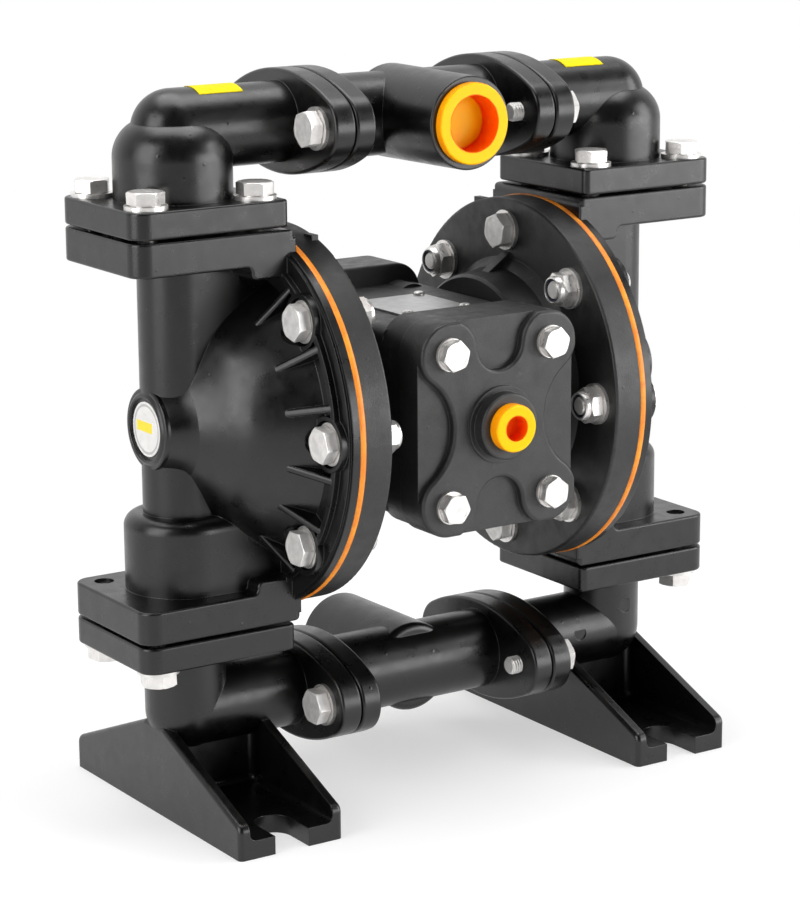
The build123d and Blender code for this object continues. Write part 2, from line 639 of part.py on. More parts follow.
def oval_machining(body, z):
    """Bolt holes and the seal groove of the two-bolt flange."""
    for side in (-1, 1):
        body = body - x_cylinder(M8_HOLE_R, OVAL_FACE_X - 1.0, OVAL_OUT_X + 0.5, side * OVAL_BOLT_Y, z)
    groove = x_cylinder(17.4, OVAL_FACE_X - 1.0, OVAL_FACE_X + 2.1, 0, z)
    groove = groove - x_cylinder(14.2, OVAL_FACE_X - 2.0, OVAL_FACE_X + 3.0, 0, z)
    return body - groove


def foot_elbow():
    z_face = LOW_JOINT_Z - JOINT_GAP / 2
    z_under = z_face - ELBOW_FLANGE_H
    body = column_flange(COLUMN_X - FLANGE_X_HALF, z_under, z_face)
    body = body + z_cylinder(RISER_R, LOW_AXIS_Z, z_face - 3.0, COLUMN_X)
    body = body + Pos(COLUMN_X, 0, LOW_AXIS_Z) * Sphere(RISER_R)
    body = body + x_cylinder(TUBE_R, OVAL_FACE_X + 3.0, COLUMN_X, 0, LOW_AXIS_Z)
    body = body + oval_flange(OVAL_FACE_X, OVAL_OUT_X, LOW_AXIS_Z)
    body = body + foot_tray()
    body = body - z_cylinder(TUBE_BORE_R, LOW_AXIS_Z, z_face + 1.0, COLUMN_X)
    body = body - Pos(COLUMN_X, 0, LOW_AXIS_Z) * Sphere(TUBE_BORE_R)
    body = body - x_cylinder(TUBE_BORE_R, OVAL_FACE_X - 1.0, COLUMN_X, 0, LOW_AXIS_Z)
    body = body - z_cylinder(SEAT_R + SEAT_GAP, LOW_JOINT_Z - SEAT_DOWN - SEAT_GAP, z_face + 1.0, COLUMN_X)
    for x, y in outer_bolt_spots(COLUMN_X):
        body = body - z_cylinder(M8_HOLE_R, z_under - 1.0, z_face + 1.0, x, y)
    # round ejector marks of the mould, on one side only
    body = body - y_cylinder(MARK_R, -RISER_R - 1.0, -RISER_R + MARK_DEPTH, COLUMN_X + 1.3, MARK_RISER_Z)
    body = body - y_cylinder(MARK_R, -TUBE_R - 1.0, -TUBE_R + MARK_DEPTH, MARK_TUBE_X, LOW_AXIS_Z + 2.6)
    return one(oval_machining(body, LOW_AXIS_Z))


def foot_tray():
    """Two open troughs with sloping side walls and a slotted floor."""
    deep = FOOT_EDGE + 0.5
    side = Polygon((-FOOT_Y, -deep), (FOOT_Y, -deep), (FOOT_Y, FOOT_END_H), (FOOT_TOP_Y, FOOT_TOP_H),
                   (-FOOT_TOP_Y, FOOT_TOP_H), (-FOOT_Y, FOOT_END_H), align=None)
    side = fillet(side.vertices().group_by(Axis.Y)[1], FOOT_NOSE_R)
    side = fillet(side.vertices().group_by(Axis.Y)[-1], FOOT_CREST_R)
    tray = Pos(FOOT_IN_X, 0, 0) * extrude(Plane.YZ * side, FOOT_OUT_X - FOOT_IN_X)
    tray = fillet(tray.faces().sort_by(Axis.X)[0].edges(), FOOT_EDGE)
    tray = fillet(tray.faces().sort_by(Axis.X)[-1].edges(), FOOT_EDGE)
    tray = tray - block(0, 200, -FOOT_Y - 10, FOOT_Y + 10, -deep - 1.0, 0)
    trough = block(FOOT_IN_X + FOOT_WALL, FOOT_OUT_X - FOOT_WALL, CROSS_WALL_Y, FOOT_Y + 10,
                   FOOT_FLOOR, FOOT_TOP_H + 10)
    low_edges = [e for e in trough.faces().sort_by(Axis.Z)[0].edges() if (e @ 0.5).Y < FOOT_Y + 5]
    back_edges = trough.faces().sort_by(Axis.Y)[0].edges().filter_by(Axis.Z)
    trough = fillet(low_edges + list(back_edges), TROUGH_ROUND)
    tray = tray - trough - mirror(trough, about=Plane.XZ)
    for side_y in (-1, 1):
        slot = z_cylinder(SLOT_R, -1.0, FOOT_FLOOR + 1.0, SLOT_X, side_y * SLOT_END_Y)
        mouth_y = side_y * (FOOT_Y + 5.0)
        y0 = min(side_y * SLOT_END_Y, mouth_y)
        y1 = max(side_y * SLOT_END_Y, mouth_y)
        slot = slot + block(SLOT_X - SLOT_R, SLOT_X + SLOT_R, y0, y1, -1.0, FOOT_FLOOR + 1.0)
        tray = tray - slot
    return tray


def manifold_tee(z, front):
    """Straight tube with two oval flanges and one threaded port boss."""
    body = x_cylinder(TEE_R, -TEE_FLANGE_X, TEE_FLANGE_X, 0, z)
    length = PORT_FACE_Y + PORT_BACK_Y
    port = Rot(90, 0, 0) * Cone(PORT_BASE_R, PORT_R, length)
    port = Pos(0, PORT_BACK_Y - length / 2, z) * port
    port = fillet(port.faces().sort_by(Axis.Y)[-1].edges(), PORT_BACK_ROUND)
    port = fillet(port.faces().sort_by(Axis.Y)[0].edges(), 0.6)
    for side in (-1, 1):
        flange = oval_flange(TEE_FLANGE_X, TEE_FACE_X, z)
        body = body + (flange if side > 0 else mirrored(flange))
    body = body + port
    body = body - x_cylinder(TUBE_BORE_R, -TEE_FACE_X - 1.0, TEE_FACE_X + 1.0, 0, z)
    body = body - y_cylinder(PORT_THREAD_R - 1.8, -PORT_FACE_Y + 5.0, 0, 0, z)
    body = body - y_cylinder(PORT_THREAD_R, -PORT_FACE_Y + 3.0, -PORT_THREAD_END, 0, z)
    body = body - y_cylinder(PORT_ENTRY_R, -PORT_FACE_Y - 1.0, -PORT_FACE_Y + PORT_ENTRY, 0, z)
    for side in (-1, 1):
        for y in (-OVAL_BOLT_Y, OVAL_BOLT_Y):
            hole = x_cylinder(M8_TAP_R, TEE_FLANGE_X - 0.5, TEE_FACE_X + 1.0, y, z)
            body = body - (hole if side > 0 else mirrored(hole))
    if not front:
        body = mirror(body, about=Plane.XZ)
    return one(body)


def port_plug(z, front):
    """Push-in thread protector with an open cup."""
    face_y = -PORT_FACE_Y - PLUG_HEAD_H
    plug = y_cylinder(PLUG_HEAD_R, face_y, -PORT_FACE_Y, 0, z)
    plug = fillet(plug.edges().filter_by(GeomType.CIRCLE).sort_by(Axis.Y)[0], 0.8)
    plug = plug + y_cylinder(PORT_ENTRY_R - RUN_GAP, -PORT_FACE_Y, -PORT_FACE_Y + PORT_ENTRY - 0.5, 0, z)
    plug = plug + y_cylinder(PORT_THREAD_R - 1.0, -PORT_FACE_Y, face_y + PLUG_RECESS + 1.6, 0, z)
    cup = y_cylinder(PLUG_RECESS_R, face_y - 1.0, face_y + PLUG_RECESS, 0, z)
    plug = plug - cup
    if not front:
        plug = mirror(plug, about=Plane.XZ)
    return one(plug)


# ---- check valve pieces ---------------------------------------------------
def ball(joint_z):
    return one(Pos(COLUMN_X, 0, joint_z + ball_height()) * Sphere(BALL_R))


def ball_seat(joint_z):
    """Seat ring that also spaces the two flanges, with two seal grooves."""
    z0 = joint_z - SEAT_DOWN
    z1 = joint_z + SEAT_UP
    ring = z_cylinder(SEAT_R, z0, z1, COLUMN_X)
    ring = ring - z_cylinder(SEAT_BORE_R, z0 - 1.0, z1 + 1.0, COLUMN_X)
    cone_top = SEAT_BORE_R + SEAT_UP
    cone = Pos(COLUMN_X, 0, joint_z + SEAT_UP / 2) * Cone(SEAT_BORE_R, cone_top, SEAT_UP)
    ring = ring - cone
    for z in seal_heights(joint_z):
        groove = z_cylinder(SEAT_R + 1.0, z - 1.25, z + 1.25, COLUMN_X)
        groove = groove - z_cylinder(SEAT_R - 2.5, z - 2.0, z + 2.0, COLUMN_X)
        ring = ring - groove
    return one(ring)


def seal_heights(joint_z):
    return (joint_z - SEAT_DOWN + 1.75, joint_z + SEAT_UP - 1.75)


def seat_seals():
    rings = []
    for joint_z in (LOW_JOINT_Z, TOP_JOINT_Z):
        for z in seal_heights(joint_z):
            ring = Pos(COLUMN_X, 0, z) * Torus(SEAT_R - RING_WIRE_R + 0.01, RING_WIRE_R)
            rings.append(ring)
            rings.append(mirrored(ring))
    return rings


def manifold_seals():
    rings = []
    for z in (LOW_AXIS_Z, TOP_AXIS_Z):
        ring = Pos(TEE_FACE_X + 1.22, 0, z) * Rot(0, 90, 0) * Torus(15.8, 1.2)
        rings.append(ring)
        rings.append(mirrored(ring))
    return rings


# ---- centre body and air valve --------------------------------------------
def rounded_plate(half_w, half_h, corner, y0, y1):
    with BuildSketch(Plane.XZ) as outline:
        RectangleRounded(2 * half_w, 2 * half_h, corner)
    # Plane.XZ faces -Y, so extrude from the rear limit towards the front
    return Pos(0, y1, MID_Z) * extrude(outline.sketch, y1 - y0)


def centre_body():
    body = rounded_plate(BODY_X, BODY_HALF_H, BODY_CORNER, FRONT_FLANGE_Y, FRONT_FLANGE_BACK_Y)
    waist = rounded_plate(BODY_X, WAIST_HALF_H, 5.0, FRONT_FLANGE_BACK_Y - 1.0, REAR_BLOCK_Y + 1.0)
    rear = rounded_plate(BODY_X, REAR_HALF_H, BODY_CORNER, REAR_BLOCK_Y, REAR_FACE_Y)
    rear = fillet(rear.faces().sort_by(Axis.Y)[-1].edges(), 3.0)
    rear = fillet(rear.faces().sort_by(Axis.Y)[0].edges(), 1.0)
    body = body + waist + rear
    # corner bosses seen on the waist side of the rear block
    for x in (-COVER_BOLT_X, COVER_BOLT_X):
        body = body + y_cylinder(9.0, REAR_BLOCK_Y - 12.0, REAR_BLOCK_Y + 1.0, x, MID_Z + COVER_BOLT_Z)
        body = body + y_cylinder(9.0, REAR_BLOCK_Y - 12.0, REAR_BLOCK_Y + 1.0, x, MID_Z - COVER_BOLT_Z)
    body = body + x_cylinder(HUB_SPIGOT_R, -HUB_FLOOR_X + 0.5, HUB_FLOOR_X - 0.5)
    # rod bearing bore, spool bore and pilot bore
    body = body - x_cylinder(ROD_R + 0.8, -60, 60)
    for side in (-1, 1):
        bore = x_cylinder(BUSH_R + SEAT_GAP, BUSH_X, 60)
        body = body - (bore if side > 0 else mirrored(bore))
    body = body - x_cylinder(SLEEVE_R + SEAT_GAP, -60, 60, SPOOL_Y, MID_Z)
    body = body - x_cylinder(PILOT_R + RUN_GAP, -60, 60, 0, MID_Z + PILOT_DROP)
    # supply from the cover, exhaust to the rear
    body = body - y_cylinder(4.0, FRONT_FLANGE_Y - 1.0, SPOOL_Y - 8.0)
    body = body - z_cylinder(EXHAUST_R, MID_Z - EXHAUST_DROP, MID_Z - 8.0, 0, SPOOL_Y)
    body = body - y_cylinder(EXHAUST_R, SPOOL_Y - 3.0, REAR_FACE_Y - 8.0, 0, MID_Z - EXHAUST_DROP)
    body = body - z_cylinder(EXHAUST_R, MID_Z - EXHAUST_DROP - 3.0, MID_Z, 0, REAR_FACE_Y - 11.0)
    body = body - y_cylinder(MUFFLER_THREAD_R + THREAD_GAP, REAR_FACE_Y - 16.0, REAR_FACE_Y + 1.0)
    for x, z in cover_bolt_spots():
        body = body - y_cylinder(QUARTER_R + THREAD_GAP, FRONT_FLANGE_Y - 1.0,
                                 FRONT_FLANGE_Y + COVER_TAP_DEPTH, x, z)
    for y, z in air_screw_spots():
        for side in (-1, 1):
            hole = x_cylinder(3.0 + THREAD_GAP, BODY_X - 14.0, BODY_X + 5.0, y, z)
            body = body - (hole if side > 0 else mirrored(hole))
    return one(body)


def cover_bolt_spots():
    spots = []
    for dx in (-COVER_BOLT_X, COVER_BOLT_X):
        for dz in (-COVER_BOLT_Z, COVER_BOLT_Z):
            spots.append((dx, MID_Z + dz))
    return spots


def cover_gasket():
    sheet = rounded_plate(BODY_X - 0.6, BODY_HALF_H - 0.4, BODY_CORNER, COVER_BACK_Y, FRONT_FLANGE_Y)
    sheet = sheet - y_cylinder(8.0, COVER_BACK_Y - 1.0, FRONT_FLANGE_Y + 1.0)
    for x, z in cover_bolt_spots():
        sheet = sheet - y_cylinder(QUARTER_R + 0.3, COVER_BACK_Y - 1.0, FRONT_FLANGE_Y + 1.0, x, z)
    return one(sheet)


def cover_pocket():
    """The four scooped panels that leave an X with round lobes standing.

    Each panel ends in an arc that runs tangent into the lobes round the bolts.
    """
    deep = COVER_PANEL_Y
    out = COVER_LOBE_Y - 6.0
    lobes = []
    for x, z in cover_bolt_spots():
        lobes.append(y_cylinder(COVER_LOBE_R, out - 1.0, deep + 1.0, x, z))
    side_r = scoop_radius(COVER_BOLT_X, COVER_BOLT_Z, SIDE_WAIST_X)
    end_r = scoop_radius(COVER_BOLT_Z, COVER_BOLT_X, END_WAIST_Z)
    side_x = SIDE_WAIST_X + side_r
    end_z = END_WAIST_Z + end_r
    side_touch = COVER_BOLT_X + (side_x - COVER_BOLT_X) * COVER_LOBE_R / (COVER_LOBE_R + side_r)
    end_touch = COVER_BOLT_Z + (end_z - COVER_BOLT_Z) * COVER_LOBE_R / (COVER_LOBE_R + end_r)
    cuts = []
    for sign in (-1, 1):
        scoop = y_cylinder(side_r, out, deep, sign * side_x, MID_Z)
        x0 = min(sign * side_touch, sign * 60.0)
        x1 = max(sign * side_touch, sign * 60.0)
        scoop = scoop + block(x0, x1, out, deep, MID_Z - COVER_BOLT_Z, MID_Z + COVER_BOLT_Z)
        cuts.append(scoop)
        scoop = y_cylinder(end_r, out, deep, 0, MID_Z + sign * end_z)
        z0 = min(sign * end_touch, sign * 60.0)
        z1 = max(sign * end_touch, sign * 60.0)
        scoop = scoop + block(-COVER_BOLT_X, COVER_BOLT_X, out, deep, MID_Z + z0, MID_Z + z1)
        cuts.append(scoop)
    trimmed = []
    for cut in cuts:
        for lobe in lobes:
            cut = cut - lobe
        trimmed.append(cut)
    return trimmed


def scoop_radius(along, across, waist):
    """Radius of the arc through the waist that is tangent to two lobes.

    along and across give the lobe centre; the arc centre lies on the first axis.
    """
    step = waist - along
    return (across ** 2 + step ** 2 - COVER_LOBE_R ** 2) / (2 * (COVER_LOBE_R - step))


def valve_cover():
    cover = rounded_plate(COVER_HALF_W, COVER_HALF_H, COVER_CORNER, COVER_LOBE_Y, COVER_BACK_Y)
    for cut in cover_pocket():
        cover = cover - cut
    cover = fillet(cover.faces().sort_by(Axis.Y)[0].edges(), RELIEF_ROUND)
    cover = cover + y_cylinder(AIR_BOSS_R + 2.2, COVER_LOBE_Y - 1.2, COVER_LOBE_Y + 1.0)
    cover = cover + y_cylinder(AIR_BOSS_R, AIR_BOSS_Y, COVER_LOBE_Y + 1.0)
    tip = cover.faces().sort_by(Axis.Y)[0].edges().filter_by(GeomType.CIRCLE)
    cover = fillet(tip, 0.8)
    # inlet thread with a plain entry, air chamber on the back
    cover = cover - y_cylinder(AIR_THREAD_R, AIR_BOSS_Y + 1.0, AIR_BOSS_Y + AIR_ENTRY + AIR_THREAD_DEPTH)
    cover = cover - y_cylinder(AIR_ENTRY_R, AIR_BOSS_Y - 1.0, AIR_BOSS_Y + AIR_ENTRY)
    cover = cover - y_cylinder(5.0, AIR_BOSS_Y + 5.0, COVER_BACK_Y + 1.0)
    for x, z in cover_bolt_spots():
        cover = cover - y_cylinder(QUARTER_R + 0.3, COVER_LOBE_Y - 5.0, COVER_BACK_Y + 1.0, x, z)
    return one(cover)


def rod_bush():
    bush = x_cylinder(BUSH_R, BUSH_X, HUB_FLOOR_X - 0.5)
    bush = bush - x_cylinder(ROD_R + RUN_GAP, BUSH_X - 1.0, HUB_FLOOR_X + 1.0)
    return one(bush)


def spool_sleeve():
    sleeve = x_cylinder(SLEEVE_R, -SLEEVE_HALF, SLEEVE_HALF, SPOOL_Y, MID_Z)
    sleeve = sleeve - x_cylinder(SPOOL_R + RUN_GAP, -40, 40, SPOOL_Y, MID_Z)
    for x in (-18.0, -9.0, 0.0, 9.0, 18.0):
        sleeve = sleeve - z_cylinder(2.0, MID_Z - 15.0, MID_Z + 15.0, x, SPOOL_Y)
        sleeve = sleeve - y_cylinder(2.0, SPOOL_Y - 15.0, SPOOL_Y + 15.0, x, MID_Z)
    return one(sleeve)


def valve_spool():
    spool = x_cylinder(SPOOL_NECK_R, -SPOOL_HALF, SPOOL_HALF, SPOOL_Y, MID_Z)
    for x in (-SPOOL_HALF, -13.5, 7.5, SPOOL_HALF - 6.0):
        spool = spool + x_cylinder(SPOOL_R, x, x + 6.0, SPOOL_Y, MID_Z)
    return one(spool)


def pilot_rod():
    rod = x_cylinder(PILOT_R, -PILOT_HALF, PILOT_HALF, 0, MID_Z + PILOT_DROP)
    ends = rod.edges().filter_by(GeomType.CIRCLE)
    return one(chamfer(ends, 0.6))


def exhaust_muffler():
    y = REAR_FACE_Y
    stub = y_cylinder(MUFFLER_THREAD_R, y - 12.0, y)
    with BuildSketch(Plane.XZ) as nut:
        RegularPolygon(MUFFLER_HEX / 2, 6, major_radius=False)
    collar = Pos(0, y + 5.0, MID_Z) * extrude(nut.sketch, 5.0)
    pot = y_cylinder(MUFFLER_R - 2.6, y + 4.0, MUFFLER_END_Y)
    pot = fillet(pot.edges().filter_by(GeomType.CIRCLE).sort_by(Axis.Y)[-1], 3.0)
    muffler = stub + collar + pot
    for step in range(3):
        y0 = y + 6.6 + 3.0 * step
        ring = y_cylinder(MUFFLER_R, y0, y0 + 1.4) - y_cylinder(MUFFLER_R - 3.6, y0 - 1.0, y0 + 3.0)
        muffler = muffler - ring
    muffler = muffler - y_cylinder(5.0, y - 13.0, MUFFLER_END_Y - 4.0)
    return one(muffler)


def air_plug():
    face_y = AIR_BOSS_Y - AIR_PLUG_HEAD_H
    plug = y_cylinder(AIR_PLUG_HEAD_R, face_y, AIR_BOSS_Y)
    plug = fillet(plug.edges().filter_by(GeomType.CIRCLE).sort_by(Axis.Y)[0], 1.0)
    plug = plug + y_cylinder(AIR_ENTRY_R - RUN_GAP, AIR_BOSS_Y, AIR_BOSS_Y + AIR_ENTRY - 0.4)
    plug = plug - y_cylinder(AIR_PLUG_RECESS_R, face_y - 1.0, AIR_BOSS_Y + AIR_ENTRY - 1.8)
    return one(plug)


# ---- fasteners, all built pointing up from the seat plane ------------------
def hex_prism(across_flats, height):
    with BuildSketch(Plane.XY) as outline:
        RegularPolygon(across_flats / 2, 6, major_radius=False)
    prism = extrude(outline.sketch, height)
    corner_r = across_flats / 2 / math.cos(math.radians(30)) + 0.1
    crown_r = across_flats / 2 - 0.2
    drop = (corner_r - crown_r) * math.tan(math.radians(25))
    with BuildSketch(Plane.XZ) as half:
        Polygon((0, 0), (corner_r, 0), (corner_r, height - drop), (crown_r, height), (0, height),
                align=None)
    top = revolve(half.sketch, Axis.Z, 360)
    return prism & top


def hex_bolt(radius, across_flats, head_h, length):
    head = hex_prism(across_flats, head_h)
    shank = Pos(0, 0, -length / 2) * Cylinder(radius, length)
    shank = chamfer(shank.faces().sort_by(Axis.Z)[0].edges(), 0.7)
    return one(head + shank)


def washer(outer_r, inner_r, height):
    ring = Pos(0, 0, height / 2) * Cylinder(outer_r, height)
    ring = ring - Pos(0, 0, height / 2) * Cylinder(inner_r, height + 2)
    return one(ring)


def lock_nut():
    nut = hex_prism(M8_AF, NUT_HEX_H)
    collar = Pos(0, 0, NUT_H / 2) * Cylinder(NUT_COLLAR_R, NUT_H)
    collar = fillet(collar.faces().sort_by(Axis.Z)[-1].edges(), 1.0)
    nut = nut + collar
    return one(nut - Pos(0, 0, NUT_H / 2) * Cylinder(M8_TAP_R, NUT_H + 2))


def stand(shape, origin, direction):
    """Place a piece built along +Z with its origin and +Z direction."""
    return Plane(origin=origin, z_dir=direction).location * shape


def both_sides(pieces):
    return pieces + [mirrored(p) for p in pieces]


def column_bolts():
    bolt = hex_bolt(M8_R, M8_AF, M8_HEAD_H, 25.0)
    ring = washer(M8_WASHER_R, M8_R + 0.2, M8_WASHER_H)
    top_seat = TOP_JOINT_Z + JOINT_GAP / 2 + ELBOW_FLANGE_H
    low_seat = LOW_JOINT_Z - JOINT_GAP / 2 - ELBOW_FLANGE_H
    bolts = []
    rings = []
    for x, y in flange_bolt_spots(COLUMN_X):
        bolts.append(stand(bolt, (x, y, top_seat + M8_WASHER_H), (0, 0, 1)))
        rings.append(stand(ring, (x, y, top_seat), (0, 0, 1)))
    for x, y in outer_bolt_spots(COLUMN_X):
        bolts.append(stand(bolt, (x, y, low_seat - M8_WASHER_H), (0, 0, -1)))
        rings.append(stand(ring, (x, y, low_seat), (0, 0, -1)))
    return both_sides(bolts), both_sides(rings)


def manifold_bolts():
    bolt = hex_bolt(M8_R, M8_AF, M8_HEAD_H, 25.0)
    ring = washer(M8_WASHER_R, M8_R + 0.2, M8_WASHER_H)
    bolts = []
    rings = []
    for z in (TOP_AXIS_Z, LOW_AXIS_Z):
        for y in (-OVAL_BOLT_Y, OVAL_BOLT_Y):
            bolts.append(stand(bolt, (OVAL_OUT_X + M8_WASHER_H, y, z), (1, 0, 0)))
            rings.append(stand(ring, (OVAL_OUT_X, y, z), (1, 0, 0)))
    return both_sides(bolts), both_sides(rings)


def rim_fasteners():
    """Bolts, washers and nuts of the right hand rim."""
    bolt = hex_bolt(M8_R, M8_AF, M8_HEAD_H, 30.0)
    short_bolt = hex_bolt(M8_R, M8_AF, M8_HEAD_H, 25.0)
    ring = washer(M8_WASHER_R, M8_R + 0.2, M8_WASHER_H)
    nut = lock_nut()
    bolts = []
    rings = []
    nuts = []
    for y, z in THROUGH_SPOTS:
        bolts.append(stand(bolt, (BOLT_SEAT_X + M8_WASHER_H, y, z), (1, 0, 0)))
        rings.append(stand(ring, (BOLT_SEAT_X, y, z), (1, 0, 0)))
        rings.append(stand(ring, (AIR_FACE_X, y, z), (-1, 0, 0)))
        nuts.append(stand(nut, (AIR_FACE_X - M8_WASHER_H, y, z), (-1, 0, 0)))
    for y, z in REVERSED_SPOTS:
        bolts.append(stand(short_bolt, (AIR_FACE_X - M8_WASHER_H, y, z), (-1, 0, 0)))
        rings.append(stand(ring, (AIR_FACE_X, y, z), (-1, 0, 0)))
    return bolts, rings, nuts


def cover_bolts():
    bolt = hex_bolt(QUARTER_R, QUARTER_AF, QUARTER_HEAD_H, 25.4)
    ring = washer(QUARTER_WASHER_R, QUARTER_R + 0.2, QUARTER_WASHER_H)
    bolts = []
    rings = []
    for x, z in cover_bolt_spots():
        bolts.append(stand(bolt, (x, COVER_LOBE_Y - QUARTER_WASHER_H, z), (0, -1, 0)))
        rings.append(stand(ring, (x, COVER_LOBE_Y, z), (0, -1, 0)))
    return bolts, rings


def air_cap_screws():
    """Socket screws that hold the air caps on the body, inside the dish."""
    head = Pos(0, 0, 2.5) * Cylinder(5.0, 5.0)
    head = head - Pos(0, 0, 4.0) * extrude(RegularPolygon(2.5, 6, major_radius=False), 3.0)
    screw = one(head + Pos(0, 0, -8.0) * Cylinder(3.0, 16.0))
    screws = []
    for y, z in air_screw_spots():
        screws.append(stand(screw, (HUB_FLOOR_X, y, z), (1, 0, 0)))
    return both_sides(screws)


# ---- plates and stickers --------------------------------------------------
def nameplate():
    z0 = MID_Z + WAIST_HALF_H
    plate = block(-PLATE_W / 2, PLATE_W / 2, PLATE_Y, PLATE_Y + PLATE_D, z0, z0 + PLATE_T)
    plate = fillet(plate.edges().filter_by(Axis.Z), 2.0)
    for x, y in rivet_spots():
        plate = plate - z_cylinder(1.5 + SEAT_GAP, z0 - 1.0, z0 + 2.0, x, y)
    return one(plate)


def rivet_spots():
    spots = []
    for x in (-PLATE_W / 2 + 3.0, PLATE_W / 2 - 3.0):
        for y in (PLATE_Y + 3.0, PLATE_Y + PLATE_D - 3.0):
            spots.append((x, y))
    return spots


def nameplate_rivets():
    z0 = MID_Z + WAIST_HALF_H
    rivets = []
    for x, y in rivet_spots():
        stem = z_cylinder(1.5, z0, z0 + PLATE_T, x, y)
        head = z_cylinder(2.4, z0 + PLATE_T, z0 + PLATE_T + 1.4, x, y)
        head = fillet(head.faces().sort_by(Axis.Z)[-1].edges(), 1.1)
        rivets.append(one(stem + head))
    return rivets


def flow_sticker():
    x0 = COLUMN_X - STICKER_IN
    x1 = x0 + STICKER_L
    skin = x_cylinder(TUBE_R + 0.3, x0, x1, 0, TOP_AXIS_Z)
    skin = skin - x_cylinder(TUBE_R + 0.02, x0 - 1.0, x1 + 1.0, 0, TOP_AXIS_Z)
    band = block(x0, x1, STICKER_FRONT_Y, STICKER_BACK_Y, TOP_AXIS_Z, TOP_AXIS_Z + TUBE_R + 5.0)
    return one(skin & band)


def cap_label():
    back = BOSS_X - LABEL_RECESS
    return one(mirrored(x_cylinder(LABEL_R, back, back + LABEL_T)))


# ---- write every node -----------------------------------------------------
def write(node, shapes):
    if not isinstance(shapes, list):
        shapes = [shapes]
    solids = []
    for shape in shapes:
        solids.extend(shape.solids())
    part = solids[0] if len(solids) == 1 else Compound(children=solids)
    export_step(part, "parts/" + node + ".step")


def write_pair(node, shape):
    write(node + "_right", shape)
    write(node + "_left", mirrored(shape))


def write_turned(node, shape):
    """The same casting serves both sides, turned half round on the other one."""
    write(node + "_right", shape)
    write(node + "_left", Rot(0, 0, 180) * shape)


write_turned("fluid_cap", fluid_cap())
write_turned("air_cap", air_cap())
write_pair("diaphragm", diaphragm())
write_pair("inner_plate", inner_plate())
write_pair("outer_plate", outer_plate())
write("connecting_rod", connecting_rod())
write_pair("discharge_elbow", outlet_elbow())
write_turned("inlet_foot_elbow", foot_elbow())
write("discharge_tee", manifold_tee(TOP_AXIS_Z, True))
write("inlet_tee", manifold_tee(LOW_AXIS_Z, False))
write("outlet_plug", port_plug(TOP_AXIS_Z, True))
write("inlet_plug", port_plug(LOW_AXIS_Z, False))
write_pair("inlet_ball", ball(LOW_JOINT_Z))
write_pair("discharge_ball", ball(TOP_JOINT_Z))
write_pair("inlet_seat", ball_seat(LOW_JOINT_Z))
write_pair("discharge_seat", ball_seat(TOP_JOINT_Z))
write("seat_seals", seat_seals())
write("manifold_seals", manifold_seals())
write("center_body", centre_body())
write("cover_gasket", cover_gasket())
write("valve_cover", valve_cover())
write("rod_bushes", both_sides([rod_bush()]))
write("spool_sleeve", spool_sleeve())
write("valve_spool", valve_spool())
write("pilot_rod", pilot_rod())
write("exhaust_muffler", exhaust_muffler())
write("air_plug", air_plug())
joint_bolts, joint_washers = column_bolts()
write("column_bolts", joint_bolts)
write("column_washers", joint_washers)
oval_bolts, oval_washers = manifold_bolts()
write("manifold_bolts", oval_bolts)
write("manifold_washers", oval_washers)
rim_bolts, rim_washers, rim_nuts = rim_fasteners()
write("rim_bolts_right", rim_bolts)
write("rim_washers_right", rim_washers)
write("rim_nuts_right", rim_nuts)
write("rim_bolts_left", [mirrored(b) for b in rim_bolts])
write("rim_washers_left", [mirrored(w) for w in rim_washers])
write("rim_nuts_left", [mirrored(n) for n in rim_nuts])
front_bolts, front_washers = cover_bolts()
write("cover_bolts", front_bolts)
write("cover_washers", front_washers)
write("air_cap_screws", air_cap_screws())
write("nameplate", nameplate())
write("nameplate_rivets", nameplate_rivets())
write("flow_sticker_right", flow_sticker())
write("flow_sticker_left", mirrored(flow_sticker()))
write("cap_label", cap_label())
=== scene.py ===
"""Looks of an air operated diaphragm pump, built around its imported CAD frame."""
import json
import math
import random

import bmesh
import bpy
from mathutils import Matrix, Vector


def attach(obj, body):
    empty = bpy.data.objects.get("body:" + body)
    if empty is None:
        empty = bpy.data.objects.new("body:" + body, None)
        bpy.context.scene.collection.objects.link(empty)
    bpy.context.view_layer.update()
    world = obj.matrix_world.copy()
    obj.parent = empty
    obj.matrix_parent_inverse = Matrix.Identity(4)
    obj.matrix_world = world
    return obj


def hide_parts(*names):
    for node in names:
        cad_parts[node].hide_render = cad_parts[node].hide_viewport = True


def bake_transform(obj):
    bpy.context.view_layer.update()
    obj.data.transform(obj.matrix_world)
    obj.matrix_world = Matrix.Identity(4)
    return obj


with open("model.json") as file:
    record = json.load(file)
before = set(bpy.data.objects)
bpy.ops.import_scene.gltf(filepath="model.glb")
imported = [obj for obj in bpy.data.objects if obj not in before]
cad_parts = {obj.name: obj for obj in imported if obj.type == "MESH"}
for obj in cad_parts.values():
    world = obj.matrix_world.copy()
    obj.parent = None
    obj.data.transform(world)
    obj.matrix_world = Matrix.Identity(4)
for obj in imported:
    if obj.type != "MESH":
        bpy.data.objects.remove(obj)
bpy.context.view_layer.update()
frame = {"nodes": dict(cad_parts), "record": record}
scene = bpy.context.scene
MM = 0.001
SIDES = ((1, "right"), (-1, "left"))

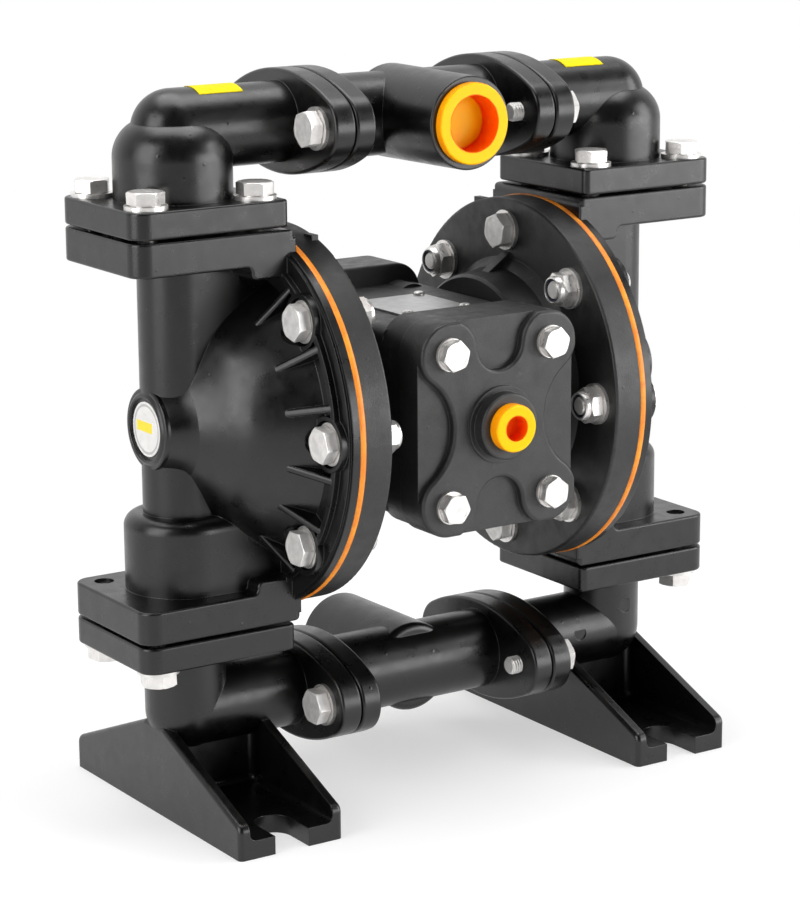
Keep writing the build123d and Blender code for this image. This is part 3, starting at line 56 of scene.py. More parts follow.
# ---- sizes shared with the CAD part, in millimetres --------------------------
MID_Z = 159.3
COLUMN_X = 105.4
TOP_AXIS_Z = 276.5
LOW_AXIS_Z = 42.1
TOP_JOINT_Z = 238.9
LOW_JOINT_Z = 79.7
JOINT_GAP = 1.0
ELBOW_FLANGE_H = 10.8
COLUMN_BOLT_DX = 24.0
COLUMN_BOLT_Y = 22.0
RIM_R = 77.0
RIM_JOINT_X = 67.6
BOLT_RING_R = 63.7
BOLT_STEP_DEGREES = 45
THROUGH_SPOTS = (0, 1, 3, 4, 5, 7)
REVERSED_SPOTS = (2, 6)
AIR_FACE_X = 54.0
BOLT_SEAT_X = 73.1
OVAL_OUT_X = 57.3
OVAL_BOLT_Y = 30.0
WASHER_H = 1.6
COVER_LOBE_Y = -72.0
COVER_BOLT_X = 24.1
COVER_BOLT_Z = 30.7
COVER_WASHER_H = 1.2

# ---- fasteners, in millimetres -----------------------------------------------
M8_FLATS = 13.0
M8_HEAD_H = 5.3
M8_R = 4.0
M8_PITCH = 1.25
M8_SHORT = 25.0
M8_LONG = 30.0
COVER_FLATS = 11.1
COVER_HEAD_H = 4.0
COVER_R = 3.175
COVER_LENGTH = 25.4
COVER_PITCH = 1.27
THREAD_FROM = 6.0
LONG_THREAD_FROM = 8.0
NUT_H = 5.6
NYLON_Z = 7.3
THREAD_DEPTH_SHARE = 0.61
HEXAGON_COUNT = 72
CROWN_SHARE = 1.045
WASHER_FACE_H = 0.35
WASHER_FACE_INSET = 0.3
CORNER_CUT = 0.15
CROWN_EDGE = 0.10
CROWN_INSET = 0.12
LAND_INSET = 1.0
DISH_INSET = 1.2
DISH_CENTRE_INSET = 3.0
DISH_DEPTH = 0.08
CHAMFER_SLOPE = math.tan(math.radians(30))
CORNER_SHARE = math.cos(math.radians(30))

# ---- soft rims, collars and the flexing skins, in millimetres -----------------
BEAD_HALF_W = 1.4
BEAD_SWELL = 0.65
BEAD_SINK = 0.25
BEAD_STEPS = 12
BEAD_FOOT_HALF_W = 0.8
BEAD_FOOT_DEPTH = 2.4
LATHE_COUNT = 160
SKIN_OUTER_R = 75.6
SKIN_HOLE_R = 5.3
FOLD_OUT_R = 54.5
FOLD_IN_R = 34.0
FOLD_STEPS = 16
FOLD_SAG = 5.4
SKIN_HALF_T = 1.0
WEDGES = 12
WEDGE_STEPS = 6

# ---- plugs and label, in metres ----------------------------------------------
PIPE_CUP_R = 0.0112
PIPE_HEAD_R = 0.0162
AIR_CUP_R = 0.0050
AIR_HEAD_R = 0.0096
OUTLET_PLUG_AT = (0, -0.0510, TOP_AXIS_Z * MM)
INLET_PLUG_AT = (0, 0.0510, LOW_AXIS_Z * MM)
AIR_PLUG_AT = (0, -0.0832, MID_Z * MM)
LABEL_AT = (0.0, 0.0, MID_Z * MM)
LABEL_RING_R = 0.0096
LABEL_BAR_Y = 0.0016
LABEL_BAR_Z = 0.0008
# radius of the rounded edges in shading, and of the edges painted lighter as wear and highlight
EDGE_ROUND_R = 0.0005

# ---- studio, in metres and watts ---------------------------------------------
CAMERA_AT = (-0.6472, -0.9870, 0.4116)
CAMERA_YAW, CAMERA_PITCH, CAMERA_ROLL = 0.580, -0.230, -0.007
CAMERA_LENS = 116.19
FLOOR_HALF = 4.0
FLOOR_GREY = 0.80
FLOOR_LIT = 0.50
FLOOR_BASE = 0.55
FADE_FROM = 0.16
FADE_TO = 0.60
AMBIENT = 0.24
BACK_WAY = (0.35, 0.94, 0.0)
CENTRE = (0.0, 0.0, 0.15)
SOFTBOXES = (
    ("left_box", (-1.35, -0.20, 0.65), 0.9, 1.3, 14.0),
    ("top_box", (0.1, 0.15, 1.5), 1.4, 1.0, 16.0),
    ("right_box", (1.25, -0.75, 0.55), 0.7, 1.2, 12.0),
    ("front_box", (0.80, -1.25, 0.30), 0.9, 0.6, 7.5),
)


# ---- camera ------------------------------------------------------------------
def add_camera():
    level = math.cos(CAMERA_PITCH)
    forward = Vector((math.sin(CAMERA_YAW) * level, math.cos(CAMERA_YAW) * level, math.sin(CAMERA_PITCH)))
    right = Vector((math.cos(CAMERA_YAW), -math.sin(CAMERA_YAW), 0.0))
    up = right.cross(forward)
    rolled_right = math.cos(CAMERA_ROLL) * right + math.sin(CAMERA_ROLL) * up
    rolled_up = -math.sin(CAMERA_ROLL) * right + math.cos(CAMERA_ROLL) * up
    data = bpy.data.cameras.new("photo_camera")
    data.sensor_width = 36.0
    data.lens = CAMERA_LENS
    data.clip_start = 0.01
    data.clip_end = 50.0
    camera = bpy.data.objects.new("photo_camera", data)
    turn = Matrix((rolled_right, rolled_up, -forward)).transposed()
    camera.matrix_world = Matrix.Translation(CAMERA_AT) @ turn.to_4x4()
    scene.collection.objects.link(camera)
    scene.camera = camera


# ---- node materials ----------------------------------------------------------
class Graph:
    """A node tree, emptied, with short ways to add and join nodes."""

    def __init__(self, tree):
        self.tree = tree
        self.tree.nodes.clear()

    def node(self, kind, **settings):
        node = self.tree.nodes.new("ShaderNode" + kind)
        for key, value in settings.items():
            setattr(node, key, value)
        return node

    def link(self, source, socket):
        self.tree.links.new(source, socket)

    def feed(self, socket, value):
        """Links an output to the socket, or sets a constant on it."""
        if isinstance(value, bpy.types.NodeSocket):
            self.link(value, socket)
        else:
            socket.default_value = value

    def maths(self, operation, a, b=0.0):
        node = self.node("Math", operation=operation)
        self.feed(node.inputs[0], a)
        self.feed(node.inputs[1], b)
        return node.outputs["Value"]

    def vector_maths(self, operation, a, b):
        node = self.node("VectorMath", operation=operation)
        self.feed(node.inputs[0], a)
        self.feed(node.inputs[1], b)
        return node

    def fit(self, source, low, high, to_low=0.0, to_high=1.0, **settings):
        """The source's range from low to high, stretched to the new range and clamped."""
        node = self.node("MapRange", **settings)
        node.inputs["From Min"].default_value = low
        node.inputs["From Max"].default_value = high
        node.inputs["To Min"].default_value = to_low
        node.inputs["To Max"].default_value = to_high
        self.link(source, node.inputs["Value"])
        return node.outputs["Result"]

    def mix(self, factor, shader_a, shader_b):
        node = self.node("MixShader")
        self.link(factor, node.inputs["Fac"])
        self.link(shader_a, node.inputs[1])
        self.link(shader_b, node.inputs[2])
        return node.outputs["Shader"]


class Look(Graph):
    """A node material on one Principled shader."""

    def __init__(self, name, **values):
        self.material = bpy.data.materials.new(name)
        self.material.use_nodes = True
        super().__init__(self.material.node_tree)
        self.shader = self.node("BsdfPrincipled")
        output = self.node("OutputMaterial")
        self.link(self.shader.outputs["BSDF"], output.inputs["Surface"])
        for key, value in values.items():
            self.set(key.replace("_", " "), value)
        self.place = self.node("TexCoord").outputs["Object"]

    def set(self, socket, value):
        self.feed(self.shader.inputs[socket], value)

    def noise(self, scale, detail=2.0, roughness=0.5):
        """Noise whose features are about 1 / scale metres wide."""
        node = self.node("TexNoise")
        node.inputs["Scale"].default_value = scale
        node.inputs["Detail"].default_value = detail
        node.inputs["Roughness"].default_value = roughness
        self.link(self.place, node.inputs["Vector"])
        return node.outputs["Fac"]

    def cloud(self, scale, detail=2.0, roughness=0.5, to_low=0.0, to_high=1.0):
        """Noise with its middle stretched over the whole of a range."""
        return self.fit(self.noise(scale, detail, roughness), 0.3, 0.7, to_low, to_high)

    def spots(self, scale, size):
        """Small round spots, 1 in their middle and 0 outside."""
        node = self.node("TexVoronoi")
        node.inputs["Scale"].default_value = scale
        self.link(self.place, node.inputs["Vector"])
        return self.fit(node.outputs["Distance"], 0.0, size, 1.0, 0.0)

    def blend(self, factor, colour_a, colour_b):
        node = self.node("Mix", data_type="RGBA")
        self.link(factor, node.inputs[0])
        self.feed(node.inputs[6], colour_a)
        self.feed(node.inputs[7], colour_b)
        return node.outputs[2]

    def rounded(self, radius):
        """Normals that turn smoothly over sharp edges."""
        node = self.node("Bevel", samples=6)
        node.inputs["Radius"].default_value = radius
        return node.outputs["Normal"]

    def bump(self, height, strength, depth, normal=None):
        node = self.node("Bump")
        node.inputs["Strength"].default_value = strength
        node.inputs["Distance"].default_value = depth
        self.link(height, node.inputs["Height"])
        if normal is not None:
            self.link(normal, node.inputs["Normal"])
        return node.outputs["Normal"]

    def near_edges(self, radius):
        """1 where the surface turns within the radius, 0 on flat ground."""
        flat = self.node("NewGeometry").outputs["Normal"]
        turned = self.vector_maths("DOT_PRODUCT", self.rounded(radius), flat)
        return self.fit(turned.outputs["Value"], 0.98, 0.80)

    def offsets(self, centre):
        """X, Y and Z distances from a point."""
        shift = self.vector_maths("SUBTRACT", self.place, centre)
        parts = self.node("SeparateXYZ")
        self.link(shift.outputs["Vector"], parts.inputs["Vector"])
        return parts.outputs

    def radius(self, a, b):
        squares = self.maths("ADD", self.maths("POWER", a, 2.0), self.maths("POWER", b, 2.0))
        return self.maths("SQRT", squares)

    def off(self, value, middle):
        """How far a value is from a middle one, either way."""
        return self.maths("ABSOLUTE", self.maths("SUBTRACT", value, middle))


def grey(level, warm=0.0):
    return (level * (1 + warm), level, level * (1 - warm), 1.0)


def black_satin(name, dark, light, rough_low, rough_high, grain, edge, shine):
    """Black satin coat or moulding with a fine grain; its edges are painted lighter, partly as rubbed wear
    and partly as a painted highlight of their rounding.
    """
    look = Look(name, IOR=1.5, Specular_IOR_Level=shine)
    cloud = look.maths("MULTIPLY", look.noise(45.0, 4.0, 0.6), 0.6)
    speck = look.maths("MULTIPLY", look.noise(900.0, 3.0, 0.65), 0.4)
    mottled = look.fit(look.maths("ADD", cloud, speck), 0.35, 0.65)
    base = look.blend(mottled, grey(dark), grey(light))
    dust = look.fit(look.noise(260.0, 5.0, 0.7), 0.62, 0.74, 0.0, 0.55)
    base = look.blend(dust, base, grey(light * 3.2))
    # Edges painted lighter grey: partly rubbed wear, partly a painted highlight where the rounded edges
    # would catch light.
    rubbed_and_highlit_edges = look.maths("MULTIPLY", look.near_edges(EDGE_ROUND_R), edge)
    look.set("Base Color", look.blend(rubbed_and_highlit_edges, base, grey(0.10)))
    look.set("Roughness", look.cloud(160.0, 4.0, 0.6, rough_low, rough_high))
    waves = look.bump(look.noise(55.0), 0.25, 0.0006, look.rounded(EDGE_ROUND_R))
    fine = look.bump(look.noise(1500.0, 3.0, 0.6), grain, 0.00012, waves)
    pits = look.bump(look.spots(420.0, 0.16), 0.12, -0.0001, fine)
    sparse = look.fit(look.noise(70.0, 1.0), 0.55, 0.60)
    nubs = look.maths("MULTIPLY", look.spots(170.0, 0.13), sparse)
    look.set("Normal", look.bump(nubs, 0.5, 0.00025, pits))
    return look.material


def stainless(name, dark, light, rough, grain, metallic=0.78):
    """Bright fastener steel: a fine grain and a little grime."""
    look = Look(name, Metallic=metallic, IOR=1.8)
    base = look.blend(look.cloud(260.0, 3.0, 0.55), grey(dark, 0.02), grey(light, 0.03))
    grime = look.fit(look.noise(700.0, 4.0, 0.7), 0.66, 0.76, 0.0, 0.4)
    look.set("Base Color", look.blend(grime, base, grey(0.20, 0.05)))
    look.set("Roughness", look.cloud(500.0, 3.0, 0.6, rough - 0.04, rough + 0.08))
    look.set("Normal", look.bump(look.noise(1800.0), grain, 0.00003))
    return look.material


def orange_rubber():
    deep_orange, bright_orange = (0.88, 0.22, 0.010, 1.0), (1.00, 0.36, 0.020, 1.0)
    soiled_orange = (0.50, 0.13, 0.018, 1.0)
    look = Look("orange_rubber", IOR=1.5)
    base = look.blend(look.cloud(200.0, 3.0, 0.6), deep_orange, bright_orange)
    smudge = look.fit(look.noise(70.0, 4.0, 0.7), 0.60, 0.72, 0.0, 0.45)
    look.set("Base Color", look.blend(smudge, base, soiled_orange))
    look.set("Roughness", look.cloud(500.0, to_low=0.36, to_high=0.52))
    look.set("Normal", look.bump(look.noise(1200.0), 0.2, 0.0001, look.rounded(0.0004)))
    return look.material


YELLOW = (1.0, 0.63, 0.002, 1.0)
# Painted shade: the red of the cup wall and of the air plug's floor, and the orange of the plug's side.
SIDE_SHADE_ORANGE = (1.0, 0.33, 0.002, 1.0)
CUP_ORANGE = (1.0, 0.60, 0.0005, 1.0)
CUP_SHADE_RED = (1.0, 0.12, 0.001, 1.0)


def plug_plastic(name, centre, cup_r, head_r, floor):
    """Thin plastic that light sinks into, coloured by radius: cup floor, a painted red shade on the cup
    wall, yellow face, a painted orange shade on the side.
    """
    look = Look(name, IOR=1.5, Specular_IOR_Level=0.12, Subsurface_Weight=0.25, Subsurface_Scale=0.003)
    look.set("Subsurface Radius", (1.0, 0.30, 0.04))
    x, _, z = look.offsets(centre)
    wobble = look.cloud(160.0, 3.0, to_low=-0.0002, to_high=0.0002)
    radius = look.maths("ADD", look.radius(x, z), wobble)
    # Painted shade by radius: red on the cup wall and the air plug's floor, orange on the side.
    base = look.blend(look.fit(radius, cup_r - 0.0012, cup_r - 0.0004), floor, CUP_SHADE_RED)
    base = look.blend(look.fit(radius, cup_r + 0.0001, cup_r + 0.0006), base, YELLOW)
    base = look.blend(look.fit(radius, head_r - 0.0005, head_r - 0.0001), base, SIDE_SHADE_ORANGE)
    look.set("Base Color", base)
    look.set("Roughness", look.cloud(400.0, 3.0, to_low=0.26, to_high=0.40))
    look.set("Normal", look.bump(look.noise(500.0), 0.12, 0.0001, look.rounded(0.0005)))
    return look.material


def plain(name, low, high, rough, scale=400.0, grain=0.15, **values):
    look = Look(name, **values)
    look.set("Base Color", look.blend(look.cloud(scale, 3.0, 0.6), low, high))
    look.set("Roughness", look.cloud(scale * 2.0, 3.0, to_low=rough - 0.07, to_high=rough + 0.07))
    look.set("Normal", look.bump(look.noise(scale * 2.5), grain, 0.0001, look.rounded(0.0003)))
    return look.material


def label_look():
    """White round label: a grey border line and a plain yellow bar, nothing written."""
    look = Look("label_round", IOR=1.5)
    _, across, up = look.offsets(LABEL_AT)
    ring = look.fit(look.off(look.radius(across, up), LABEL_RING_R), 0.0004, 0.0006, 0.55, 0.0)
    paper = look.blend(look.cloud(260.0, 3.0), (0.72, 0.71, 0.69, 1.0), (0.80, 0.79, 0.77, 1.0))
    base = look.blend(ring, paper, grey(0.22))
    wide = look.fit(look.off(across, LABEL_BAR_Y), 0.0060, 0.0064, 1.0, 0.0)
    high = look.fit(look.off(up, LABEL_BAR_Z), 0.0019, 0.0022, 1.0, 0.0)
    base = look.blend(look.maths("MULTIPLY", wide, high), base, (0.93, 0.72, 0.01, 1.0))
    look.set("Base Color", base)
    look.set("Roughness", look.cloud(500.0, 3.0, to_low=0.26, to_high=0.38))
    look.set("Normal", look.bump(look.noise(900.0), 0.05, 0.0001))
    return look.material


CAST = black_satin("black_cast", 0.0010, 0.0030, 0.25, 0.37, 0.16, 0.12, 0.60)
BODY = black_satin("body_black", 0.0085, 0.0190, 0.36, 0.56, 0.55, 0.22, 0.62)
STEEL = stainless("stainless", 0.70, 0.86, 0.30, 0.10)
HEAD_TOP = stainless("stainless_forged", 0.58, 0.90, 0.38, 0.35)
# Painted light: brighter, less metallic copies of the same steel for the rim and manifold bolts, whose
# reflections fall dark.
LIT_RIM_STEEL = stainless("stainless_lit_rim", 0.76, 0.92, 0.34, 0.12, 0.45)
LIT_RIM_TOP = stainless("stainless_lit_rim_top", 0.70, 0.95, 0.38, 0.35, 0.45)
ORANGE = orange_rubber()
NYLON = plain("nylon_ring", (0.012, 0.016, 0.03, 1.0), (0.02, 0.025, 0.045, 1.0), 0.4)
BALL_WHITES = ((0.80, 0.79, 0.75, 1.0), (0.86, 0.85, 0.82, 1.0))
BRONZES = ((0.45, 0.27, 0.12, 1.0), (0.60, 0.38, 0.18, 1.0))
LABEL_WHITES = ((0.74, 0.73, 0.70, 1.0), (0.80, 0.79, 0.77, 1.0))
STICKER_YELLOWS = ((0.84, 0.66, 0.001, 1.0), (0.90, 0.73, 0.003, 1.0))
SLOT_LOOKS = {
    "black_cast": CAST,
    "body_black": BODY,
    "orange_elastomer": ORANGE,
    "stainless": STEEL,
    "plate_alloy": plain("plate_alloy", grey(0.45), grey(0.6), 0.35, 300.0, 0.1, Metallic=1.0),
    "rod_steel": plain("rod_steel", grey(0.5), grey(0.62), 0.22, 500.0, 0.06, Metallic=1.0),
    "seal_black": plain("seal_black", grey(0.012), grey(0.022), 0.5),
    "ball_white": plain("ball_white", *BALL_WHITES, 0.35, 200.0, 0.05),
    "seat_black": plain("seat_black", grey(0.014), grey(0.024), 0.4),
    "bronze": plain("bronze", *BRONZES, 0.35, 500.0, 0.1, Metallic=1.0),
    "muffler_grey": plain("muffler_grey", grey(0.02), grey(0.035), 0.55),
    "label_white": plain("label_white", *LABEL_WHITES, 0.35, 250.0, 0.05),
    "sticker_yellow": plain("sticker_yellow", *STICKER_YELLOWS, 0.5, 250.0, 0.05, IOR=1.2),
    "diaphragm_plate": plain("diaphragm_plate", grey(0.30), grey(0.42), 0.4, 400.0, 0.1, Metallic=1.0),
}
NODE_LOOKS = {
    "cap_label": label_look(),
    "outlet_plug": plug_plastic("plug_outlet", OUTLET_PLUG_AT, PIPE_CUP_R, PIPE_HEAD_R, CUP_ORANGE),
    "inlet_plug": plug_plastic("plug_inlet", INLET_PLUG_AT, PIPE_CUP_R, PIPE_HEAD_R, CUP_ORANGE),
    "air_plug": plug_plastic("plug_air", AIR_PLUG_AT, AIR_CUP_R, AIR_HEAD_R, CUP_SHADE_RED),
}


def dress_nodes():
    """Each CAD node takes its own look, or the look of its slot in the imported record."""
    slots = {part["node"]: part["material_slot"] for part in frame["record"]["subparts"]}
    for name, node in frame["nodes"].items():
        node.data.materials.clear()
        node.data.materials.append(NODE_LOOKS.get(name) or SLOT_LOOKS[slots[name]])


# ---- mesh tools --------------------------------------------------------------
def new_piece(name, mesh, body, materials, replaced=()):
    for material in materials:
        mesh.materials.append(material)
    piece = bpy.data.objects.new(name, mesh)
    scene.collection.objects.link(piece)
    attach(piece, body)
    if replaced:
        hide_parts(*replaced)
    return piece


def finished_mesh(bm, name):
    mesh = bpy.data.meshes.new(name)
    bm.to_mesh(mesh)
    bm.free()
    return mesh


def crisp_edges(bm, degrees):
    """Smooth shading everywhere, broken at edges that turn more than the angle."""
    for face in bm.faces:
        face.smooth = True
    for edge in bm.edges:
        edge.smooth = edge.calc_face_angle(0.0) < math.radians(degrees)


def round_angles(count):
    return [2 * math.pi * i / count for i in range(count)]


def polar_vert(bm, radius, angle, z):
    return bm.verts.new((radius * math.cos(angle), radius * math.sin(angle), z))


def ring_of(bm, radius, z, count):
    return [polar_vert(bm, radius, angle, z) for angle in round_angles(count)]


def bridge(bm, low, high, material=0):
    """Quads between two rings of as many vertices."""
    count = len(low)
    for i in range(count):
        j = (i + 1) % count
        face = bm.faces.new((low[i], low[j], high[j], high[i]))
        face.material_index = material


def fan(bm, ring, tip, material=0):
    """Triangles from each side of a ring to one vertex."""
    for i, vert in enumerate(ring):
        face = bm.faces.new((vert, ring[(i + 1) % len(ring)], tip))
        face.material_index = material


def axis_point(side, x, radius, angle):
    """A point in metres, from a place in millimetres round the pump's long axis."""
    return Vector((side * x, radius * math.cos(angle), MID_Z + radius * math.sin(angle))) * MM


# ---- fasteners ---------------------------------------------------------------
def hexagon_radius(angle, half_flats, limit):
    """Radius of a hexagon at an angle, cut by a circle of the given radius."""
    fold = (angle + math.pi / 6) % (math.pi / 3) - math.pi / 6
    return min(half_flats / math.cos(fold), limit)


def hexagon_ring(bm, half_flats, limit, z):
    ring = []
    for angle in round_angles(HEXAGON_COUNT):
        ring.append(polar_vert(bm, hexagon_radius(angle, half_flats, limit), angle, z))
    return ring


def chamfer_ring(bm, half_flats, corner_r, crown_r, z, drop):
    """The scalloped edge where a chamfer cone meets the flats of a hexagon."""
    ring = []
    for angle in round_angles(HEXAGON_COUNT):
        radius = hexagon_radius(angle, half_flats, corner_r)
        down = drop * max(0.0, radius - crown_r) / (corner_r - crown_r)
        ring.append(polar_vert(bm, radius, angle, z - down))
    return ring


def add_head(bm, across_flats, height):
    """Forged hexagon head that stands on z = 0, with a washer face below and a dish in its top."""
    half = across_flats / 2
    corner_r = half / CORNER_SHARE
    crown_r = half * CROWN_SHARE
    drop = (corner_r - crown_r) * CHAMFER_SLOPE
    dish_z = height - DISH_DEPTH
    under = ring_of(bm, half - WASHER_FACE_INSET, 0.0, HEXAGON_COUNT)
    face_edge = ring_of(bm, half - WASHER_FACE_INSET, WASHER_FACE_H, HEXAGON_COUNT)
    low = hexagon_ring(bm, half, corner_r - CORNER_CUT, WASHER_FACE_H)
    high = chamfer_ring(bm, half, corner_r, crown_r, height - CROWN_EDGE, drop)
    crown = hexagon_ring(bm, half - CROWN_INSET, crown_r - CROWN_INSET, height)
    land = ring_of(bm, half - LAND_INSET, height, HEXAGON_COUNT)
    dish = ring_of(bm, half - DISH_INSET, dish_z, HEXAGON_COUNT)
    dish_in = ring_of(bm, half - DISH_CENTRE_INSET, dish_z, HEXAGON_COUNT)
    fan(bm, under, bm.verts.new((0, 0, 0)))
    rows = [under, face_edge, low, high, crown, land, dish]
    for lower, upper in zip(rows, rows[1:]):
        bridge(bm, lower, upper)
    bridge(bm, dish, dish_in, 1)
    fan(bm, dish_in, bm.verts.new((0, 0, dish_z)), 1)


def add_thread(bm, radius, pitch, top, bottom):
    """Threaded rod between two depths below z = 0, closed at both ends, pointed at the bottom."""
    count, steps_per_turn = 24, 8
    point, crest_cut = 0.8, 0.15
    depth = THREAD_DEPTH_SHARE * pitch
    length = bottom - top
    steps = int(round(length / pitch * steps_per_turn))
    rings = []
    for step in range(steps + 1):
        z = top + length * step / steps
        taper = max(0.0, z - (bottom - point)) / point
        ring = []
        for i, angle in enumerate(round_angles(count)):
            phase = (z / pitch - i / count) % 1.0
            groove = depth * abs(2 * phase - 1)
            thread_r = min(radius - groove, radius - crest_cut - taper * depth)
            ring.append(bm.verts.new((thread_r * math.cos(angle), -thread_r * math.sin(angle), -z)))
        rings.append(ring)
    for low, high in zip(rings, rings[1:]):
        bridge(bm, low, high)
    fan(bm, rings[-1], bm.verts.new((0, 0, -bottom)))
    fan(bm, rings[0], bm.verts.new((0, 0, -top)))


def bolt_mesh(across_flats, head_h, radius, length, pitch, thread_from):
    """Hexagon bolt: the head stands on z = 0, the shank and its thread hang below."""
    bm = bmesh.new()
    add_head(bm, across_flats, head_h)
    shank_count, overlap = 32, 0.05
    shank_top = ring_of(bm, radius, 0.0, shank_count)
    shank_end = ring_of(bm, radius, -(thread_from + overlap), shank_count)
    bridge(bm, shank_end, shank_top)
    add_thread(bm, radius, pitch, thread_from, length)
    return bm


def short_m8_bolt():
    return bolt_mesh(M8_FLATS, M8_HEAD_H, M8_R, M8_SHORT, M8_PITCH, THREAD_FROM)


def long_m8_bolt():
    return bolt_mesh(M8_FLATS, M8_HEAD_H, M8_R, M8_LONG, M8_PITCH, LONG_THREAD_FROM)


def cover_bolt():
    return bolt_mesh(COVER_FLATS, COVER_HEAD_H, COVER_R, COVER_LENGTH, COVER_PITCH, THREAD_FROM)


def nut_mesh():
    """Lock nut standing on z = 0: hexagon, rolled collar and nylon ring."""
    bm = bmesh.new()
    half = M8_FLATS / 2
    corner_r = half / CORNER_SHARE
    crown_r = half - CORNER_CUT
    drop = (corner_r - crown_r) * CHAMFER_SLOPE
    bore_r = M8_R + 0.02
    bore = ring_of(bm, bore_r, 0.0, HEXAGON_COUNT)
    face = ring_of(bm, crown_r, 0.0, HEXAGON_COUNT)
    low = chamfer_ring(bm, half, corner_r, crown_r, 0.0, -drop)
    high = chamfer_ring(bm, half, corner_r, crown_r, NUT_H, drop)
    neck = ring_of(bm, 5.95, NUT_H - 0.05, HEXAGON_COUNT)
    collar = [(5.9, 6.6), (5.75, 7.3), (5.4, 7.8), (4.95, 8.0), (4.8, 7.85), (4.8, NYLON_Z)]
    rows = [bore, face, low, high, neck]
    rows += [ring_of(bm, radius, z, HEXAGON_COUNT) for radius, z in collar]
    for lower, upper in zip(rows, rows[1:]):
        bridge(bm, lower, upper)
    nylon = ring_of(bm, M8_R + 0.05, NYLON_Z, HEXAGON_COUNT)
    deep = ring_of(bm, bore_r, NUT_H - 0.2, HEXAGON_COUNT)
    bridge(bm, rows[-1], nylon, 1)
    bridge(bm, nylon, deep, 1)
    bridge(bm, deep, bore)
    return bm


def stand_at(origin, direction, turn_by):
    """Matrix that stands a piece, built up +Z in millimetres, at a place in metres."""
    up = Vector(direction).normalized()
    aside = Vector((0, 0, 1)) if abs(up.z) < 0.5 else Vector((1, 0, 0))
    x = aside.cross(up).normalized()
    y = up.cross(x)
    turn = Matrix((x, y, up)).transposed().to_4x4()
    spun = Matrix.Rotation(turn_by, 4, "Z") @ Matrix.Scale(MM, 4)
    return Matrix.Translation(Vector(origin) * MM) @ turn @ spun


def set_of(name, make, spots, materials, replaced):
    """One piece of the pump made of a copy of a mesh at every spot."""
    unit = finished_mesh(make(), name + "_unit")
    bm = bmesh.new()
    for origin, direction, turn_by in spots:
        copy = unit.copy()
        copy.transform(stand_at(origin, direction, turn_by))
        bm.from_mesh(copy)
        bpy.data.meshes.remove(copy)
    bmesh.ops.recalc_face_normals(bm, faces=bm.faces)
    crisp_edges(bm, 20.0)
    bpy.data.meshes.remove(unit)
    new_piece(name, finished_mesh(bm, name), "pump", materials, [replaced])


draw = random.Random(7)
FULL_TURN = 2 * math.pi
MIRRORED_TURN = 6.28


def spin(limit=FULL_TURN):
    """The angle where a tightened fastener stops, which is any."""
    return draw.uniform(0, limit)


def both_sides(spots):
    """The spots and their mirror images across the YZ plane."""
    mirrored = []
    for origin, direction, _ in spots:
        over = (-origin[0], origin[1], origin[2])
        mirrored.append((over, (-direction[0], direction[1], direction[2]), spin(MIRRORED_TURN)))
    return spots + mirrored


def ring_spots(indices):
    """Y and Z of places on the rim's bolt ring, counted from the front."""
    angles = [math.radians(BOLT_STEP_DEGREES * index) for index in indices]
    return [(-BOLT_RING_R * math.cos(angle), MID_Z + BOLT_RING_R * math.sin(angle)) for angle in angles]


def column_spots():
    """Four bolts down into each upper joint, the outer two up into each lower one."""
    top_seat = TOP_JOINT_Z + JOINT_GAP / 2 + ELBOW_FLANGE_H
    low_seat = LOW_JOINT_Z - JOINT_GAP / 2 - ELBOW_FLANGE_H
    spots = []
    for dx in (-COLUMN_BOLT_DX, COLUMN_BOLT_DX):
        for y in (-COLUMN_BOLT_Y, COLUMN_BOLT_Y):
            spots.append(((COLUMN_X + dx, y, top_seat + WASHER_H), (0, 0, 1), spin()))
    for y in (-COLUMN_BOLT_Y, COLUMN_BOLT_Y):
        spots.append(((COLUMN_X + COLUMN_BOLT_DX, y, low_seat - WASHER_H), (0, 0, -1), spin()))
    return spots


def oval_spots():
    spots = []
    for z in (TOP_AXIS_Z, LOW_AXIS_Z):
        for y in (-OVAL_BOLT_Y, OVAL_BOLT_Y):
            spots.append(((OVAL_OUT_X + WASHER_H, y, z), (1, 0, 0), spin()))
    return spots


def rim_spots(indices, x, way):
    return [((x, y, z), (way, 0, 0), spin()) for y, z in ring_spots(indices)]


def cover_spots():
    y = COVER_LOBE_Y - COVER_WASHER_H
    spots = []
    for x in (-COVER_BOLT_X, COVER_BOLT_X):
        for dz in (-COVER_BOLT_Z, COVER_BOLT_Z):
            spots.append(((x, y, MID_Z + dz), (0, -1, 0), spin()))
    return spots


def make_fasteners():
    column = column_spots()
    oval = oval_spots()
    # the rim and manifold bolts take the lit copies of the steel, painted light
    lit_rim_steels = [LIT_RIM_STEEL, LIT_RIM_TOP]
    set_of("column_bolts_fine", short_m8_bolt, both_sides(column), [STEEL, HEAD_TOP], "column_bolts")
    set_of("manifold_bolts_fine", short_m8_bolt, both_sides(oval), lit_rim_steels, "manifold_bolts")
    for side, label in SIDES:
        cap_x = side * (BOLT_SEAT_X + WASHER_H)
        air_x = side * (AIR_FACE_X - WASHER_H)
        long_bolts = rim_spots(THROUGH_SPOTS, cap_x, side)
        short_bolts = rim_spots(REVERSED_SPOTS, air_x, -side)
        nuts = rim_spots(THROUGH_SPOTS, air_x, -side)
        set_of("rim_bolts_fine_" + label, long_m8_bolt, long_bolts, lit_rim_steels, "rim_bolts_" + label)
        set_of("rim_cap_bolts_fine_" + label, short_m8_bolt, short_bolts, lit_rim_steels, "rim_bolts_" + label)
        set_of("rim_nuts_fine_" + label, nut_mesh, nuts, [STEEL, NYLON], "rim_nuts_" + label)
    set_of("cover_bolts_fine", cover_bolt, cover_spots(), [STEEL, HEAD_TOP], "cover_bolts")


